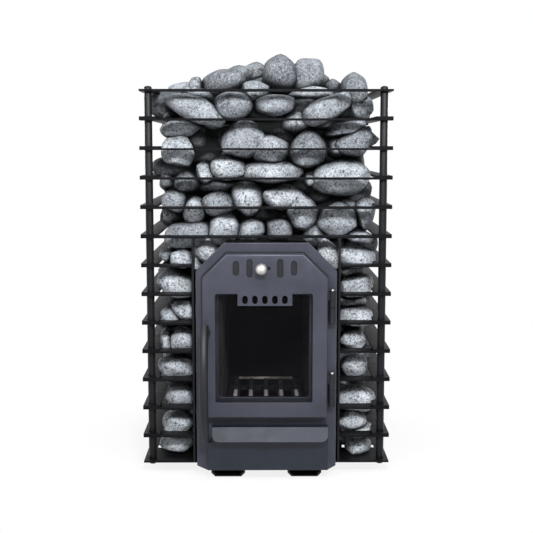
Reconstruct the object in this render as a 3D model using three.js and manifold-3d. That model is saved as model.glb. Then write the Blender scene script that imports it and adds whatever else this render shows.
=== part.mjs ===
// Sauna stove: a wood-fired firebox inside a square cage of flat bars that is filled with stones.
// Millimetres, +Z up, front towards -Y. The origin is on the floor, under the middle of the object.
import * as THREE from "three";
import { mergeVertices } from "three/addons/utils/BufferGeometryUtils.js";
import Module from "manifold-3d";

const wasm = await Module();
wasm.setup();

// Fits
const SEAT_GAP = 0.3; // between a piece and what it sits on
const STONE_GAP = 0.5; // between the outer stones and the bars
const RUN_GAP = 1; // between a moving piece and what it passes
const WELD = 0.05; // depth that two welded pieces share
const MERGE_DISTANCE = 1e-4;

// Cage of flat bars on four posts
const CAGE_SIDE = 510;
const BAR_WIDTH = 34;
const BAR_THICKNESS = 4;
const RING_COUNT = 12;
const FIRST_GAP = 50.3; // base plate to the first ring
const RING_GAP = 51.3; // from one ring to the next
const TOP_GAP = 50; // last ring to the top ring
const POST_DIAMETER = 16;
const POST_SIDES = 8;
const POST_END = 7; // how far a post's round end stands out of the cage
const OPENING_GAP = 4.5; // front plate to the upright strips
const STRIP_THICKNESS = 4.5;

// Base plate and feet
const FOOT_HEIGHT = 25;
const BASE_THICKNESS = 4;
const AIR_SLOT_WIDTH = 30;
const AIR_SLOT_PITCH = 147;
const AIR_SLOT_ROWS = 3;
const AIR_SLOT_MARGIN = 19; // slot to the edge of the base plate
const RAIL_HEIGHT = 6;
const RAIL_WIDTH = 12;
const RAIL_INSET = 14; // from the side of the tray to the middle of a rail
const RUNNER_TOP_WIDTH = 70;
const RUNNER_FOOT_WIDTH = 54;
const RUNNER_SPACING = 158;
const RUNNER_WALL = 3;
const RUNNER_FRONT_REACH = 15; // ahead of the cage
const RUNNER_BACK_INSET = 40;

// Front plate
const PLATE_STANDOFF = 20; // ahead of the cage
const PLATE_THICKNESS = 4;
const PLATE_LAP = 3; // past the firebox, at each side
const PLATE_RISE = 2; // above the firebox
const PLATE_CORNER_CUT = 57;

// Firebox
const WALL = 5;
const BOX_SHARE = 0.549; // firebox width, of the cage's side
const BACK_SHARE = 0.314; // back face behind the middle of the cage, of its side
const SMOKE_GAP = 53.4; // baffle to the top of the crown
const SHOULDER = 57; // drop and width of the sloping shoulders
const FLOOR_HEIGHT = 110;
const BRICK_SIDE = 45;
const BRICK_BACK = 30;
const BRICK_HEIGHT = 310;
const BAFFLE_THICKNESS = 6;
const BAFFLE_FRONT = -100;
const FLUE_DIAMETER = 120;
const FLUE_WALL = 3;
const FLUE_Y = 50;
const FLUE_RISE = 42.4; // above the top ring
const FLUE_SIDES = 20;
const GRATE_GAP = 7.7; // grate to the bricks at its sides
const GRATE_LENGTH = 176;
const GRATE_THICKNESS = 8;
const GRATE_Y = -65;
const GRATE_BARS = 5;
const GRATE_BAR_PITCH = 33.5;
const GRATE_SLOT_WIDTH = 18;
const GRATE_LEDGE = 9;

// Door
const DOOR_MARGIN = 17; // door to the sides of the front plate
const DOOR_HEAD = 20; // door to the top of the front plate
const DOOR_X = -3;
const DOOR_BOTTOM = 132;
const DOOR_DEPTH = 24;
const DOOR_SKIN = 3;
const DOOR_CORNER_CUT = 48;
const WINDOW_MARGIN = 28; // to the sides of the door
const WINDOW_HEAD = 80; // to the top of the door
const WINDOW_X = -2; // from the middle of the door
const WINDOW_SILL = 32; // above the bottom of the door
const WINDOW_RADIUS = 5;
const TAB_WIDTH = 110;
const TAB_HEIGHT = 24.5;
const TAB_SLOTS = 5;
const TAB_SLOT_WIDTH = 11;
const TAB_SLOT_HEIGHT = 17;
const TAB_SLOT_PITCH = 20;
const GLASS_THICKNESS = 4;
const GLASS_LAP = 8;
const SEAL_THICKNESS = 1;
const RETAINER_THICKNESS = 1.5;
const THROAT_INSET = 6; // firebox opening, inside the window

// Air slots and slide
const SLOT_WIDTH = 12.3;
const SLOT_INNER_SHARE = 0.121; // middle of an inner slot, of the door's width
const SLOT_OUTER_SHARE = 0.23; // and of an outer slot
const SLOT_INNER_HEIGHT = 38;
const SLOT_OUTER_HEIGHT = 30;
const SLOT_DROP = 29; // below the top of the door
const SLIDE_TRAVEL = 15;
const SLIDE_THICKNESS = 2;
const SLIDE_MARGIN = 4;
const SLIDE_LOW = 22; // below the middle of the slots
const SLIDE_SHOULDER = 18; // above it, at the ends
const SLIDE_HIGH = 22; // above it, in the middle
const KNOB_DIAMETER = 24;
const KNOB_COLLAR = 12;
const KNOB_STEM = 6;
const KNOB_REACH = 28;

// Hinges
const HINGE_REACH = 10; // door edge to hinge axis
const HINGE_DIAMETER = 14;
const HINGE_BACK = 15; // hinge axis to front plate
const HINGE_LENGTH = 34; // of each half
const HINGE_LOW = 22; // lower hinge, above the bottom of the door
const HINGE_HEAD = 95; // upper hinge, below the cut corner of the door
const HINGE_LUG = 8;
const PIN_DIAMETER = 8;
const PIN_TIP = 3;
const ROUND_SIDES = 12;
const CORNER_STEPS = 3; // flats in a round corner
const ARC_STEPS = 4; // flats in an arc of a drawn outline

// Handle and latch
const HANDLE_DIAMETER = 18;
const HANDLE_LENGTH = 234;
const HANDLE_BOW = 41;
const HANDLE_STANDOFF = 16; // door face to the middle of the bar's ends
const HANDLE_BEND_STEPS = 14;
const HANDLE_INSET = 5; // door edge to the middle of the bar
const HANDLE_RISE = 193; // top end, above the bottom of the door
const SHAFT_INSET = 10; // door edge to the shaft
const SHAFT_DROP = 15; // below the top end of the bar
const SHAFT_DIAMETER = 8;
const BOSS_DIAMETER = 14;
const TONGUE_WIDTH = 10.6;
const TONGUE_TAIL = 6.4; // below the shaft, with its corners cut
const TONGUE_LENGTH = 30;
const TONGUE_THICKNESS = 4.5;
const NUT_SIDES = 6;
const NUT_WIDTH = 13;
const NUT_THICKNESS = 4.4;
const KEEPER_WIDTH = 14;
const KEEPER_HEIGHT = 20;
const KEEPER_SHEET = 2.5;
const KEEPER_REACH = 14; // ahead of the front plate
const KEEPER_RISE = 12; // above the shaft

// Ash drawer
const DRAWER_BOTTOM = 23;
const DRAWER_TOP = 113;
const DRAWER_LEFT_INSET = 23; // from the side of the front plate
const DRAWER_RIGHT_INSET = 17.5;
const DRAWER_NOTCH_WIDTH = 9; // the corner below the handle
const DRAWER_NOTCH_Z = 80;
const DRAWER_SKIN = 3;
const LIP_REACH = 24;
const LIP_DROP = 25;
const LIP_THICKNESS = 3;
const LIP_RADIUS = 16;
const TRAY_INSET = 40; // from the side of the firebox
const TRAY_HEIGHT = 46;
const TRAY_LENGTH = 336;
const TRAY_WALL = 2;
const ASH_DOOR_GAP = 5; // front plate to the tray, all round

// Stones
const STONE_DEPTH = 62;
const CORE_SHARE = 0.746; // packed middle of the beds, of the outer stones' reach
const STONE_SWELL = 1.14; // a faceted stone reaches a little past the round one
const STONE_OVERRUN = 8; // of a front stone's end, between the side bars
const COURSE_HEIGHT = 60;
const COURSE_PITCH = 88; // along a course
const WIDTH_RANGE = [0.86, 1.18]; // of a stone, in pitches
const HEIGHT_RANGE = [0.86, 1.22]; // of a stone, in courses
const SHIFT_RANGE = [-0.12, 0.12]; // of a stone's middle, in pitches or courses
const INSET_RANGE = [0, 12]; // of a stone's face, behind the bars
const BOND_SHIFT = 0.18; // every other course, in pitches
const TILT_RANGE = [-25, 25];
const TURN_RANGE = [0, 180];
const HEAP_WIDTH_RANGE = [0.95, 1.25]; // of a heaped stone, in pitches
const HEAP_DEPTH_RANGE = [0.85, 1.1];
const HEAP_SHIFT_RANGE = [-8, 8]; // up or down
const HEAP_DROP = 28; // middles of the heap's outermost stones, below the top ring's top
const HEAP_RISE = 72; // middle of the heap above its edge
const HEAP_SINK = 14; // packed middle of the heap, below the stones' middles
const HEAP_LIMIT = 180; // room above the top ring
const ROW_STEP = 37; // from one course to the next, in the run of repeatable numbers
const STONE_STEP = 5; // from one stone to the next
const LISTED_REACH = 220.5; // half the width that the lists below are drawn to

// Stones of the front, as they lie: x, z, width, height, tilt in degrees, distance set back
const FRONT_STONES = [
  [-145, 756, 132, 49, 22, 0],
  [-138, 786, 75, 29, 15, 35],
  [-66, 766, 87, 61, 0, 0],
  [16, 764, 87, 47, -3, 0],
  [92, 789, 97, 33, 0, 40],
  [126, 758, 111, 51, -24, 0],
  [209, 764, 42, 54, 0, 45],
  [-207, 749, 51, 38, 0, 45],
  [-179, 718, 92, 41, -4, 15],
  [61, 726, 63, 56, 0, 25],
  [-109, 728, 76, 37, 0, 35],
  [118, 731, 71, 37, 0, 35],
  [164, 716, 87, 35, -10, 10],
  [-183, 670, 75, 74, -10, 0],
  [-48, 691, 95, 82, -10, 0],
  [8, 674, 83, 64, 8, 0],
  [89, 672, 83, 82, 0, 0],
  [146, 676, 42, 46, 0, 20],
  [201, 687, 87, 62, -30, 0],
  [-128, 627, 42, 54, 0, 10],
  [-81, 635, 73, 56, 0, 0],
  [14, 627, 129, 50, 3, 0],
  [160, 614, 125, 83, 3, 0],
  [-63, 664, 71, 38, 0, 30],
  [95, 609, 34, 38, 0, 25],
  [-169, 606, 54, 50, 0, 10],
  [-209, 605, 34, 46, 0, 30],
  [-192, 569, 58, 52, 5, 0],
  [-149, 550, 52, 59, 0, 5],
  [-101, 597, 93, 34, 0, 30],
  [-98, 560, 65, 54, 0, 0],
  [-36, 571, 71, 79, 0, 0],
  [35, 575, 92, 58, 3, 0],
  [77, 546, 67, 88, -14, 0],
  [148, 531, 90, 80, 0, 0],
  [179, 555, 46, 38, 0, 25],
  [211, 538, 42, 72, 0, 20],
  [-166, 498, 100, 57, -12, 0],
  [-90, 514, 69, 75, 0, 0],
  [-34, 508, 71, 57, -8, 0],
  [25, 506, 61, 61, 0, 0],
  [103, 494, 46, 51, 0, 15],
  [216, 491, 63, 34, 10, 20],
  [-196, 533, 47, 43, 0, 40],
  [-124, 462, 55, 57, 0, 0],
  [-146, 437, 25, 42, 0, 10],
  [132, 455, 46, 80, -38, 0],
  [-174, 447, 59, 49, 0, 0],
  [-214, 451, 38, 32, 15, 20],
  [-196, 392, 80, 57, 20, 0],
  [-173, 341, 57, 49, 10, 0],
  [-204, 323, 42, 47, -10, 5],
  [-211, 273, 28, 52, 0, 10],
  [-178, 272, 49, 56, -10, 0],
  [-196, 212, 87, 50, 3, 0],
  [-182, 153, 62, 55, 8, 0],
  [-189, 94, 68, 51, 0, 0],
  [-193, 52, 73, 44, 0, 0],
  [193, 451, 84, 51, 3, 0],
  [191, 390, 78, 55, -8, 0],
  [183, 355, 64, 30, 0, 20],
  [188, 321, 74, 51, 5, 0],
  [182, 278, 62, 54, 0, 0],
  [187, 220, 60, 59, 10, 0],
  [188, 146, 81, 57, 5, 0],
  [177, 102, 71, 46, -8, 0],
  [204, 76, 52, 35, -15, 5],
  [197, 45, 58, 44, 0, 0],
];

// Heaped stones at the front, as they lie: x, z, width, height, tilt, y
const FRONT_HEAP = [
  [-148, 801, 31, 45, 0, -160],
  [-90, 812, 92, 54, -8, -150],
  [-56, 831, 104, 56, -4, -70],
  [-21, 834, 56, 51, 0, -70],
  [-21, 790, 58, 53, 0, -175],
  [28, 829, 70, 87, 0, -130],
  [85, 822, 74, 88, 5, -120],
  [141, 799, 47, 46, 0, -110],
  [185, 797, 57, 75, 0, -150],
];

// Places that follow from the sizes above
const cageHalf = CAGE_SIDE / 2;
const barInner = cageHalf - BAR_WIDTH;
const postAt = cageHalf - BAR_WIDTH / 2;
const baseTop = FOOT_HEIGHT + BASE_THICKNESS;
const ringHeight = 2 * BAR_THICKNESS;
const ringPitch = RING_GAP + ringHeight;
const ringBottom = (k) => baseTop + FIRST_GAP + k * ringPitch;
const topRingBottom = ringBottom(RING_COUNT - 1) + ringHeight + TOP_GAP;
const topRingTop = topRingBottom + BAR_THICKNESS;
const flueTop = topRingTop + FLUE_RISE;
const boxHalf = (BOX_SHARE * CAGE_SIDE) / 2;
const boxBack = BACK_SHARE * CAGE_SIDE;
const plateHalf = boxHalf + PLATE_LAP;
const openingHalf = plateHalf + OPENING_GAP;
const plateFront = -cageHalf - PLATE_STANDOFF;
const plateBack = plateFront + PLATE_THICKNESS;
const boxFront = plateBack + SEAT_GAP;
const wallInner = boxHalf - WALL;
const floorTop = FLOOR_HEIGHT + WALL;
const brickTop = floorTop + SEAT_GAP + BRICK_HEIGHT;
const baffleLow = brickTop + SEAT_GAP;
const baffleHigh = baffleLow + BAFFLE_THICKNESS;
const boxTop = baffleHigh + SMOKE_GAP;
const plateTop = boxTop + PLATE_RISE;
const openRings = Math.ceil((boxTop - ringBottom(0)) / ringPitch); // the lowest rings stop at the firebox
const doorWidth = 2 * (plateHalf - DOOR_MARGIN);
const doorLeft = DOOR_X - doorWidth / 2;
const doorRight = DOOR_X + doorWidth / 2;
const doorTop = plateTop - DOOR_HEAD;
const doorBack = plateFront - RUN_GAP;
const doorFace = doorBack - DOOR_DEPTH;
const skinBack = doorFace + DOOR_SKIN;
const windowLeft = doorLeft + WINDOW_MARGIN + WINDOW_X;
const windowRight = doorRight - WINDOW_MARGIN + WINDOW_X;
const windowLow = DOOR_BOTTOM + WINDOW_SILL;
const windowHigh = doorTop - WINDOW_HEAD;
const slotInnerX = SLOT_INNER_SHARE * doorWidth;
const slotOuterX = SLOT_OUTER_SHARE * doorWidth;
const slotZ = doorTop - SLOT_DROP;
const hingeX = doorRight + HINGE_REACH;
const hingeY = plateFront - HINGE_BACK;
const handleX = doorLeft + HANDLE_INSET;
const handleTop = DOOR_BOTTOM + HANDLE_RISE;
const shaftX = doorLeft + SHAFT_INSET;
const shaftZ = handleTop - SHAFT_DROP;
const drawerLeft = DRAWER_LEFT_INSET - plateHalf;
const drawerRight = plateHalf - DRAWER_RIGHT_INSET;
const trayHalf = boxHalf - TRAY_INSET;
const trayBottom = baseTop + RAIL_HEIGHT + SEAT_GAP;
const slotColumns = [
  [-slotOuterX, SLOT_OUTER_HEIGHT],
  [-slotInnerX, SLOT_INNER_HEIGHT],
  [slotInnerX, SLOT_INNER_HEIGHT],
  [slotOuterX, SLOT_OUTER_HEIGHT],
];

// Finishes
const finish = (color, roughness, metalness) =>
  new THREE.MeshStandardMaterial({ color, roughness, metalness });
const cagePaint = finish(0x2a2a2d, 0.55, 0.5);
const doorPaint = finish(0x4c4d54, 0.5, 0.5);
const bareSteel = finish(0xb8b9bc, 0.3, 1);
const boxSteel = finish(0x1f1f20, 0.7, 0.4);
const castIron = finish(0x303032, 0.7, 0.6);
const firebrick = finish(0x4a453f, 0.95, 0);
const darkGlass = finish(0x15161a, 0.08, 0);
const sealFibre = finish(0x3b3b3b, 0.95, 0);
const granite = finish(0xa9adb2, 0.9, 0);

const stove = new THREE.Group();

// Solids and meshes

// A closed three.js geometry as a solid that can be joined and cut.
function solid(geometry) {
  const loose = geometry.index ? geometry.toNonIndexed() : geometry.clone();
  loose.deleteAttribute("normal");
  loose.deleteAttribute("uv");
  const merged = mergeVertices(loose, MERGE_DISTANCE);
  const index = merged.index.array;
  const corners = [];
  for (let i = 0; i < index.length; i += 3) {
    const [a, b, c] = index.slice(i, i + 3);
    if (a !== b && b !== c && c !== a) corners.push(a, b, c);
  }
  const vertProperties = merged.attributes.position.array;
  const triVerts = new Uint32Array(corners);
  return new wasm.Manifold(new wasm.Mesh({ numProp: 3, vertProperties, triVerts }));
}

// Adds a solid to the stove as a named mesh.
function piece(name, body, material) {
  const data = body.getMesh();
  const geometry = new THREE.BufferGeometry();
  geometry.setAttribute("position", new THREE.BufferAttribute(data.vertProperties, 3));
  geometry.setIndex(new THREE.BufferAttribute(data.triVerts, 1));
  geometry.computeVertexNormals();
  const mesh = new THREE.Mesh(geometry, material);
  mesh.name = name;
  stove.add(mesh);
}

// A block between two corners.
function block([x0, y0, z0], [x1, y1, z1]) {
  const geometry = new THREE.BoxGeometry(x1 - x0, y1 - y0, z1 - z0);
  geometry.translate((x0 + x1) / 2, (y0 + y1) / 2, (z0 + z1) / 2);
  return solid(geometry);
}

// A flat shape given depth along +Z and then put in place, its holes cut right through.
function extruded(shape, depth, place) {
  const layer = (path, overrun) => {
    const edge = new THREE.Shape(path.getPoints(ARC_STEPS));
    const geometry = new THREE.ExtrudeGeometry(edge, { depth: depth + 2 * overrun, bevelEnabled: false });
    geometry.translate(0, 0, -overrun);
    place(geometry);
    return solid(geometry);
  };
  const holes = shape.holes.map((hole) => layer(hole, RUN_GAP));
  return layer(shape, 0).subtract(wasm.Manifold.union(holes));
}

// A shape drawn in plan, from height z up by depth.
const slab = (shape, z, depth) => extruded(shape, depth, (geometry) => geometry.translate(0, 0, z));

// A shape drawn in front view (x, z), from y back by depth.
const panel = (shape, y, depth) =>
  extruded(shape, depth, (geometry) => geometry.rotateX(Math.PI / 2).translate(0, y + depth, 0));

// A profile of [radius, height] turned about an upright axis.
function turned(profile, sides, x, y) {
  const points = profile.map(([r, z]) => new THREE.Vector2(r, z));
  const geometry = new THREE.LatheGeometry(points, sides);
  geometry.rotateX(Math.PI / 2);
  geometry.translate(x, y, 0);
  return solid(geometry);
}

// A profile of [radius, y] turned about a front-to-back axis through x, z.
function turnedAlongY(profile, sides, x, z) {
  const points = profile.map(([r, y]) => new THREE.Vector2(r, y));
  const geometry = new THREE.LatheGeometry(points, sides);
  geometry.translate(x, 0, z);
  return solid(geometry);
}

// A round bar from y0 to y1, or from z0 to z1.
const barAlongY = (r, y0, y1, sides, x, z) =>
  turnedAlongY([[0, y0], [r, y0], [r, y1], [0, y1]], sides, x, z);
const barUpright = (r, z0, z1, sides, x, y) =>
  turned([[0, z0], [r, z0], [r, z1], [0, z1]], sides, x, y);

// Outlines

const outline = (points) => new THREE.Shape(points.map(([a, b]) => new THREE.Vector2(a, b)));
const rectangle = (x0, z0, x1, z1) => outline([[x0, z0], [x1, z0], [x1, z1], [x0, z1]]);

// A rectangle with round corners.
function roundRectangle(x0, z0, x1, z1, radius) {
  const centres = [
    [x1 - radius, z1 - radius],
    [x0 + radius, z1 - radius],
    [x0 + radius, z0 + radius],
    [x1 - radius, z0 + radius],
  ];
  const points = [];
  centres.forEach(([x, z], corner) => {
    for (let step = 0; step <= CORNER_STEPS; step++) {
      const angle = (Math.PI / 2) * (corner + step / CORNER_STEPS);
      const point = new THREE.Vector2(x + radius * Math.cos(angle), z + radius * Math.sin(angle));
      const before = points.at(-1);
      const isNew = !before || before.distanceTo(point) > SEAT_GAP;
      const isClosing = points.length > 1 && points[0].distanceTo(point) < SEAT_GAP;
      if (isNew && !isClosing) points.push(point);
    }
  });
  return new THREE.Shape(points);
}

// A slot with round ends, centred at x, z.
function roundSlot(x, z, width, height) {
  const radius = Math.min(width, height) / 2;
  return roundRectangle(x - width / 2, z - height / 2, x + width / 2, z + height / 2, radius);
}

// A panel outline with its two top corners cut.
function cutCorners(x0, z0, x1, z1, cut) {
  return outline([[x0, z0], [x1, z0], [x1, z1 - cut], [x1 - cut, z1], [x0 + cut, z1], [x0, z1 - cut]]);
}

// A ring of points that a post or its hole stands on.
function postCircle(x, y, radius) {
  const path = new THREE.Path();
  const corners = [];
  for (let i = 0; i < POST_SIDES; i++) {
    const angle = (2 * Math.PI * i) / POST_SIDES;
    corners.push(new THREE.Vector2(x + radius * Math.cos(angle), y + radius * Math.sin(angle)));
  }
  return path.setFromPoints([...corners, corners[0]]);
}

// Cage

// One flat bar in plan, with a hole at each post that it reaches.
function flatBar(x0, y0, x1, y1, z) {
  const shape = rectangle(x0, y0, x1, y1);
  for (const x of [-postAt, postAt])
    for (const y of [-postAt, postAt])
      if (x > x0 && x < x1 && y > y0 && y < y1)
        shape.holes.push(postCircle(x, y, POST_DIAMETER / 2 + SEAT_GAP));
  return slab(shape, z, BAR_THICKNESS);
}

// A ring of four bars: the side bars lie on the front and back bars.
function cageRing(k) {
  const z = ringBottom(k);
  const stub = openingHalf + STRIP_THICKNESS + SEAT_GAP;
  const front =
    k < openRings
      ? [
          flatBar(-cageHalf, -cageHalf, -stub, -barInner, z),
          flatBar(stub, -cageHalf, cageHalf, -barInner, z),
        ]
      : [flatBar(-cageHalf, -cageHalf, cageHalf, -barInner, z)];
  const sideZ = z + BAR_THICKNESS - WELD;
  return wasm.Manifold.union([
    ...front,
    flatBar(-cageHalf, barInner, cageHalf, cageHalf, z),
    flatBar(-cageHalf, -cageHalf, -barInner, cageHalf, sideZ),
    flatBar(barInner, -cageHalf, cageHalf, cageHalf, sideZ),
  ]);
}

for (let k = 0; k < RING_COUNT; k++)
  piece("cage_ring_" + String(k + 1).padStart(2, "0"), cageRing(k), cagePaint);

// The top ring is one sheet.
function topRing() {
  const shape = rectangle(-cageHalf, -cageHalf, cageHalf, cageHalf);
  shape.holes.push(rectangle(-barInner, -barInner, barInner, barInner));
  for (const x of [-postAt, postAt])
    for (const y of [-postAt, postAt])
      shape.holes.push(postCircle(x, y, POST_DIAMETER / 2 + SEAT_GAP));
  return slab(shape, topRingBottom, BAR_THICKNESS);
}
piece("top_ring", topRing(), cagePaint);

// A post runs from under the base plate to above the top ring, with round ends.
function post(x, y) {
  const r = POST_DIAMETER / 2;
  const low = FOOT_HEIGHT - POST_END;
  const high = topRingTop + POST_END;
  const round = r / 2;
  return turned(
    [[0, low], [r - round, low], [r, low + round], [r, high - round], [r - round, high], [0, high]],
    POST_SIDES,
    x,
    y,
  );
}
for (const [side, x] of [["left", -postAt], ["right", postAt]])
  for (const [end, y] of [["front", -postAt], ["rear", postAt]])
    piece(`corner_post_${end}_${side}`, post(x, y), cagePaint);

// Upright strips that close the cut bar ends, up to the first whole ring.
for (const [side, sign] of [["left", -1], ["right", 1]]) {
  const inner = sign * openingHalf;
  const outer = sign * (openingHalf + STRIP_THICKNESS);
  const strip = block(
    [Math.min(inner, outer), -cageHalf, baseTop + SEAT_GAP],
    [Math.max(inner, outer), -barInner, ringBottom(openRings) - SEAT_GAP],
  );
  piece(`opening_strip_${side}`, strip, cagePaint);
}

// Base plate with air slots beside the firebox and two rails for the ash tray.
function basePlate() {
  const shape = rectangle(-cageHalf, -cageHalf, cageHalf, cageHalf);
  const slotInner = openingHalf + STRIP_THICKNESS;
  const slotOuter = cageHalf - AIR_SLOT_MARGIN;
  for (const sign of [-1, 1]) {
    for (let i = 0; i < AIR_SLOT_ROWS; i++) {
      const y = (i - (AIR_SLOT_ROWS - 1) / 2) * AIR_SLOT_PITCH;
      const x0 = Math.min(sign * slotInner, sign * slotOuter);
      const x1 = Math.max(sign * slotInner, sign * slotOuter);
      shape.holes.push(rectangle(x0, y - AIR_SLOT_WIDTH / 2, x1, y + AIR_SLOT_WIDTH / 2));
    }
    for (const y of [-postAt, postAt])
      shape.holes.push(postCircle(sign * postAt, y, POST_DIAMETER / 2 + SEAT_GAP));
  }
  const rails = [-1, 1].map((sign) => {
    const x = sign * (trayHalf - RAIL_INSET);
    return block(
      [x - RAIL_WIDTH / 2, -cageHalf, baseTop - WELD],
      [x + RAIL_WIDTH / 2, doorFace + TRAY_LENGTH, baseTop + RAIL_HEIGHT],
    );
  });
  return wasm.Manifold.union([slab(shape, FOOT_HEIGHT, BASE_THICKNESS), ...rails]);
}
piece("base_plate", basePlate(), cagePaint);

// Foot runners: folded channels, open upwards, with cut lower corners.
function footRunner(x) {
  const top = FOOT_HEIGHT - SEAT_GAP;
  const cut = (RUNNER_TOP_WIDTH - RUNNER_FOOT_WIDTH) / 2;
  const half = RUNNER_TOP_WIDTH / 2;
  const low = RUNNER_FOOT_WIDTH / 2;
  const section = outline([
    [x - low, 0],
    [x + low, 0],
    [x + half, cut],
    [x + half, top],
    [x + half - RUNNER_WALL, top],
    [x + half - RUNNER_WALL, cut + RUNNER_WALL],
    [x + low - RUNNER_WALL, RUNNER_WALL],
    [x - low + RUNNER_WALL, RUNNER_WALL],
    [x - half + RUNNER_WALL, cut + RUNNER_WALL],
    [x - half + RUNNER_WALL, top],
    [x - half, top],
    [x - half, cut],
  ]);
  const front = -cageHalf - RUNNER_FRONT_REACH;
  return panel(section, front, cageHalf - RUNNER_BACK_INSET - front);
}
piece("foot_runner_left", footRunner(-RUNNER_SPACING / 2), boxSteel);
piece("foot_runner_right", footRunner(RUNNER_SPACING / 2), boxSteel);

// Firebox

// Front plate with the firebox opening and the ash opening.
function frontPlate() {
  const shape = cutCorners(-plateHalf, FOOT_HEIGHT, plateHalf, plateTop, PLATE_CORNER_CUT);
  shape.holes.push(
    roundRectangle(
      windowLeft + THROAT_INSET,
      windowLow + THROAT_INSET,
      windowRight - THROAT_INSET,
      windowHigh - THROAT_INSET,
      WINDOW_RADIUS,
    ),
    rectangle(
      -trayHalf - ASH_DOOR_GAP,
      trayBottom - RUN_GAP,
      trayHalf + ASH_DOOR_GAP,
      trayBottom + TRAY_HEIGHT + ASH_DOOR_GAP,
    ),
  );
  return panel(shape, plateFront, PLATE_THICKNESS);
}
piece("front_plate", frontPlate(), doorPaint);

const crownBottom = boxTop - WALL;
const shoulderLow = boxTop - SHOULDER;
const wallLow = baseTop + SEAT_GAP;
const wallHigh = shoulderLow - SEAT_GAP;
piece("firebox_wall_left", block([-boxHalf, boxFront, wallLow], [-wallInner, boxBack, wallHigh]), boxSteel);
piece("firebox_wall_right", block([wallInner, boxFront, wallLow], [boxHalf, boxBack, wallHigh]), boxSteel);

// The crown is folded: a flat top between two sloping shoulders.
const fitHalf = wallInner - SEAT_GAP;
const flueBore = FLUE_DIAMETER / 2 - FLUE_WALL;
const slopeInset = WALL * Math.SQRT2; // the sheet's thickness, measured level across a shoulder
const flatHalf = boxHalf - SHOULDER;
const innerFlatHalf = flatHalf + WALL - slopeInset;
const crownSheet = panel(
  outline([
    [-boxHalf, shoulderLow],
    [slopeInset - boxHalf, shoulderLow],
    [-innerFlatHalf, crownBottom],
    [innerFlatHalf, crownBottom],
    [boxHalf - slopeInset, shoulderLow],
    [boxHalf, shoulderLow],
    [flatHalf, boxTop],
    [-flatHalf, boxTop],
  ]),
  boxFront,
  boxBack - boxFront,
);
const flueHole = barUpright(flueBore, crownBottom - WALL, boxTop + WALL, FLUE_SIDES, 0, FLUE_Y);
piece("firebox_crown", crownSheet.subtract(flueHole), boxSteel);

// The back wall closes the body from inside.
const backWallFront = boxBack - WALL;
const backWallCut = SHOULDER - WALL * (2 - Math.SQRT2);
const backWall = cutCorners(-fitHalf, wallLow, fitHalf, crownBottom - SEAT_GAP, backWallCut);
piece("firebox_wall_back", panel(backWall, backWallFront, WALL), boxSteel);

// Flue pipe, standing on the crown.
const flue = turned(
  [
    [flueBore, boxTop + SEAT_GAP],
    [FLUE_DIAMETER / 2, boxTop + SEAT_GAP],
    [FLUE_DIAMETER / 2, flueTop],
    [flueBore, flueTop],
    [flueBore, boxTop + SEAT_GAP],
  ],
  FLUE_SIDES,
  0,
  FLUE_Y,
);
piece("flue_pipe", flue, boxSteel);

// Floor with the grate's opening, and the slotted grate that lies over it.
const brickInner = fitHalf - BRICK_SIDE;
const grateHalf = brickInner - GRATE_GAP;
const grateFront = GRATE_Y - GRATE_LENGTH / 2;
const grateRear = GRATE_Y + GRATE_LENGTH / 2;
const fitBack = backWallFront - SEAT_GAP;
const floorPlate = block([-fitHalf, boxFront, FLOOR_HEIGHT], [fitHalf, fitBack, floorTop]).subtract(
  block(
    [-grateHalf + GRATE_LEDGE, grateFront + GRATE_LEDGE, FLOOR_HEIGHT - WALL],
    [grateHalf - GRATE_LEDGE, grateRear - GRATE_LEDGE, floorTop + WALL],
  ),
);
piece("firebox_floor", floorPlate, boxSteel);

function grate() {
  const shape = rectangle(-grateHalf, grateFront, grateHalf, grateRear);
  for (let i = 0; i < GRATE_BARS - 1; i++) {
    const x = (i - (GRATE_BARS - 2) / 2) * GRATE_BAR_PITCH;
    const reach = GRATE_LENGTH - 4 * GRATE_LEDGE;
    shape.holes.push(roundSlot(x, GRATE_Y, GRATE_SLOT_WIDTH, reach));
  }
  return slab(shape, floorTop + SEAT_GAP, GRATE_THICKNESS);
}
piece("grate", grate(), castIron);

// Firebrick lining, and the baffle that lies on it.
const brickLow = floorTop + SEAT_GAP;
const brickRear = fitBack - BRICK_BACK;
const brickFront = boxFront + SEAT_GAP;
piece("firebrick_left", block([-fitHalf, brickFront, brickLow], [-brickInner, fitBack, brickTop]), firebrick);
piece("firebrick_right", block([brickInner, brickFront, brickLow], [fitHalf, fitBack, brickTop]), firebrick);
const rearBrickHalf = brickInner - SEAT_GAP;
const rearBrick = block([-rearBrickHalf, brickRear, brickLow], [rearBrickHalf, fitBack, brickTop]);
piece("firebrick_back", rearBrick, firebrick);
const baffleHalf = boxHalf - slopeInset - (baffleHigh - shoulderLow) - SEAT_GAP;
const baffle = block([-baffleHalf, BAFFLE_FRONT, baffleLow], [baffleHalf, fitBack, baffleHigh]);
piece("baffle_plate", baffle, boxSteel);

// Door

const knobX = DOOR_X - SLIDE_TRAVEL / 2;

// The window's outline, with the tab that hangs from its top edge left standing.
function windowOutline() {
  const tabLeft = DOOR_X - TAB_WIDTH / 2;
  const tabRight = DOOR_X + TAB_WIDTH / 2;
  const tabLow = windowHigh - TAB_HEIGHT;
  const r = WINDOW_RADIUS;
  const shape = new THREE.Shape();
  shape.moveTo(tabRight, windowHigh);
  shape.lineTo(tabRight, tabLow);
  shape.lineTo(tabLeft, tabLow);
  shape.lineTo(tabLeft, windowHigh);
  shape.absarc(windowLeft + r, windowHigh - r, r, Math.PI / 2, Math.PI);
  shape.absarc(windowLeft + r, windowLow + r, r, Math.PI, 1.5 * Math.PI);
  shape.absarc(windowRight - r, windowLow + r, r, 1.5 * Math.PI, 2 * Math.PI);
  shape.absarc(windowRight - r, windowHigh - r, r, 0, Math.PI / 2);
  return shape;
}

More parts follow.
